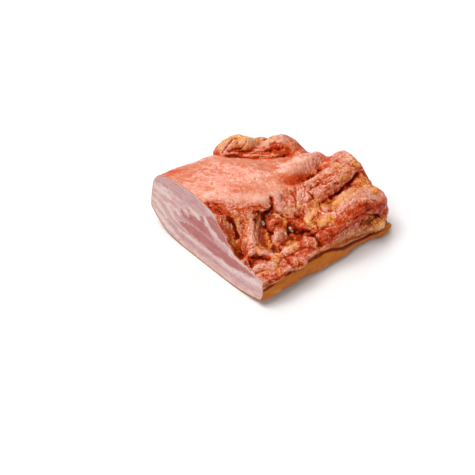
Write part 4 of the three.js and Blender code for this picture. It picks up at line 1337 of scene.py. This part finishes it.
class BELLY_OT_block(Operator):
    """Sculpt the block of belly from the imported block, slice its cut end flat and colour it"""

    bl_idname = "pork_belly.make_block"
    bl_label = "Make the block"
    bl_options = {"REGISTER", "UNDO"}

    def execute(self, context):
        noise.seed_set(NOISE_SEED)
        sizes = context.scene.belly_sizes
        block = bpy.data.objects.new("belly_block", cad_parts[CAD_NODE].data.copy())
        context.collection.objects.link(block)
        block.data.materials.clear()
        self.make_fine(block, sizes)
        surface = Surface(block.data)
        sculpt(surface, PictureView(block), sizes)
        surface.keep()
        self.slice_end(block, sizes)
        self.thin_underside(block, sizes)
        self.colour(block, context.scene.belly_colours)
        bpy.ops.object.shade_smooth()
        for face in block.data.polygons:
            face.use_smooth = face.material_index == 0
        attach(block, "root")
        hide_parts(CAD_NODE)
        return {"FINISHED"}

    def make_fine(self, block, sizes):
        """Welds the block, lengthens it past the cut and turns it into small even squares."""
        only(block)
        bpy.ops.object.mode_set(mode="EDIT")
        bpy.ops.mesh.select_all(action="SELECT")
        bpy.ops.mesh.remove_doubles(threshold=WELD)
        bpy.ops.mesh.select_all(action="DESELECT")
        shape = bmesh.from_edit_mesh(block.data)
        for face in shape.faces:
            middle = np.array(face.calc_center_median()) / MM - BLOCK_START
            face.select_set(abs(cut_distance(middle)) < NEAR_CUT and face.normal.dot(INTO_BLOCK) < FACES_OUT)
        bmesh.update_edit_mesh(block.data)
        outwards = -INTO_BLOCK * CUT_SPARE * MM
        bpy.ops.mesh.extrude_region_move(TRANSFORM_OT_translate={"value": outwards})
        bpy.ops.object.mode_set(mode="OBJECT")
        apply_modifier(block, "REMESH", mode="VOXEL", voxel_size=sizes.fineness)
        group_points(block, "meat", rind_level(Surface(block.data).points)[1] > RIND_BAND + SOFT_OVER)
        apply_modifier(block, "SMOOTH", factor=0.5, iterations=sizes.softening, vertex_group="meat")
        apply_modifier(block, "SMOOTH", factor=0.5, iterations=sizes.rind_softening)
        block.vertex_groups.clear()

    def slice_end(self, block, sizes):
        """Cuts the end off flat and draws a grid on the cut face."""
        bpy.ops.object.mode_set(mode="EDIT")
        bpy.ops.mesh.select_all(action="SELECT")
        bpy.ops.mesh.bisect(
            plane_co=Vector(BLOCK_START * MM), plane_no=INTO_BLOCK, use_fill=True, clear_inner=True,
            threshold=WELD,
        )
        bpy.ops.object.mode_set(mode="OBJECT")
        shape = bmesh.new()
        shape.from_mesh(block.data)
        face = [part for part in shape.faces if len(part.verts) > RIM_CORNERS]
        if not face:
            raise RuntimeError("the cut end of the block was not closed")
        low, high = CAD_BOX
        for axis, normal in ((1, Vector((0, 1, 0))), (2, Vector((0, 0, 1)))):
            place = low[axis] + sizes.face_grid / 2
            while place < high[axis]:
                parts = set(face)
                for part in face:
                    parts.update(part.edges)
                    parts.update(part.verts)
                cut = bmesh.ops.bisect_plane(
                    shape, geom=list(parts), plane_co=normal * place, plane_no=normal, dist=WELD
                )
                face = [part for part in cut["geom"] if isinstance(part, bmesh.types.BMFace)]
                place += sizes.face_grid
        for part in face:
            part.material_index = 1
        shape.to_mesh(block.data)
        shape.free()

    def thin_underside(self, block, sizes):
        """Thins the smooth underside, which needs fewer faces."""
        surface = Surface(block.data)
        below = surface.normals[:, 2] < THINNED_UNDER
        group_points(block, "underside", below & (cut_distance(surface.points) > THINNED_FROM))
        apply_modifier(
            block, "DECIMATE", decimate_type="COLLAPSE", ratio=sizes.underside_share,
            vertex_group="underside", use_collapse_triangulate=False,
        )
        block.vertex_groups.clear()

    def colour(self, block, colours):
        """Stores the patterns that the materials read, and gives the block its materials."""
        surface = Surface(block.data)
        points = surface.points
        stain_and_shade(surface, PictureView(block))
        # How far each point of the cut face is from its rim, where the rim is drawn thicker near the rind as
        # painted shadow along the bottom edge.
        on_face = np.abs(cut_distance(points)) < ON_CUT
        crust = [face.vertices for face in block.data.polygons if face.material_index == 0]
        on_crust = np.zeros(len(points), bool)
        on_crust[np.unique(np.concatenate(crust))] = True
        border = points[on_face & on_crust]
        rim = np.full(len(points), FAR_FROM_RIM)
        for number in np.flatnonzero(on_face):
            rim[number] = np.sqrt(((border - points[number]) ** 2).sum(1).min())
        marble(surface, rim * (1 - THICK_RIM_AND_SHADOW * (1 - ease(*THICK_RIM_AND_SHADOW_TO, rind_level(points)[0]))))
        block.data.materials.append(smoked_crust(colours))
        block.data.materials.append(sliced_belly(colours))


class BELLY_OT_stage(Operator):
    """Set the table, the lights and the camera"""

    bl_idname = "pork_belly.set_stage"
    bl_label = "Set the stage"
    bl_options = {"REGISTER", "UNDO"}

    def execute(self, context):
        stage = context.scene.belly_stage
        bpy.ops.object.select_all(action="DESELECT")
        bpy.ops.mesh.primitive_plane_add(size=stage.table_size, location=(0, 0, -FLOOR_GAP))
        table = context.object
        table.name = "table_top"
        table.data.materials.append(pale_table(context.scene.belly_colours))
        bpy.ops.object.transform_apply(location=True, rotation=True, scale=True)
        self.light_room(context, stage.sky)
        for row in LIGHTS:
            self.add_light(context, getattr(stage, row[0]), *row)
        self.add_camera(context, stage)
        context.scene.view_settings.view_transform = "Standard"
        return {"FINISHED"}

    def light_room(self, context, strength):
        """Puts a white room round the table, which lights softly and shows as plain white."""
        world = bpy.data.worlds.new("white_room")
        context.scene.world = world
        world.use_nodes = True
        world.node_tree.nodes.clear()
        node = partial(add, world.node_tree)
        lighting, backdrop = [
            node("Background", {"Color": (1, 1, 1, 1), "Strength": much}) for much in (strength, 1.0)
        ]
        room = node("MixShader", (node("LightPath", output="Is Camera Ray"), lighting, backdrop))
        node("OutputWorld", {"Surface": room})

    def add_light(self, context, strength, name, kind, place, size, gleams):
        """Adds a light that faces the block."""
        bpy.ops.object.light_add(type=kind, location=LIGHT_TARGET + Vector(place))
        light = context.object
        light.name = name
        light.data.energy = strength
        if kind == "SUN":
            light.data.angle = math.radians(size)
        else:
            light.data.size = size
        light.visible_glossy = gleams
        light.rotation_euler = (-Vector(place)).to_track_quat("-Z", "Y").to_euler()

    def add_camera(self, context, stage):
        """Adds the camera at its turn, rise and distance from the point that it looks at."""
        turn, rise = stage.camera_turn, stage.camera_rise
        back = Vector((math.sin(turn) * math.cos(rise), -math.cos(turn) * math.cos(rise), math.sin(rise)))
        bpy.ops.object.camera_add(
            location=Vector(stage.look_at) + back * stage.camera_distance,
            rotation=back.to_track_quat("Z", "Y").to_euler(),
        )
        camera = context.object
        camera.name = "table_camera"
        camera.data.lens = stage.camera_lens
        camera.data.sensor_width = SENSOR
        context.scene.camera = camera


class BELLY_PT_panel(Panel):
    """Lists the pieces of the pork belly and their settings"""

    bl_idname = "BELLY_PT_panel"
    bl_label = "Smoked Pork Belly"
    bl_space_type = "VIEW_3D"
    bl_region_type = "UI"
    bl_category = "Pork Belly"

    def draw(self, context):
        layout = self.layout
        layout.operator(BELLY_OT_block.bl_idname)
        layout.operator(BELLY_OT_stage.bl_idname)
        for settings in (context.scene.belly_sizes, context.scene.belly_colours, context.scene.belly_stage):
            box = layout.box()
            for name in settings.__annotations__:
                box.prop(settings, name)


CLASSES = (BellySizes, BellyColours, BellyStage, BELLY_OT_block, BELLY_OT_stage, BELLY_PT_panel)
SETTINGS = {"belly_sizes": BellySizes, "belly_colours": BellyColours, "belly_stage": BellyStage}


def register():
    for item in CLASSES:
        bpy.utils.register_class(item)
    for name, kind in SETTINGS.items():
        setattr(bpy.types.Scene, name, PointerProperty(type=kind))


def unregister():
    for name in SETTINGS:
        delattr(bpy.types.Scene, name)
    for item in reversed(CLASSES):
        bpy.utils.unregister_class(item)


def main():
    """Makes the pieces in order."""
    register()
    bpy.ops.pork_belly.make_block()
    bpy.ops.pork_belly.set_stage()


if __name__ == "__main__":
    main()
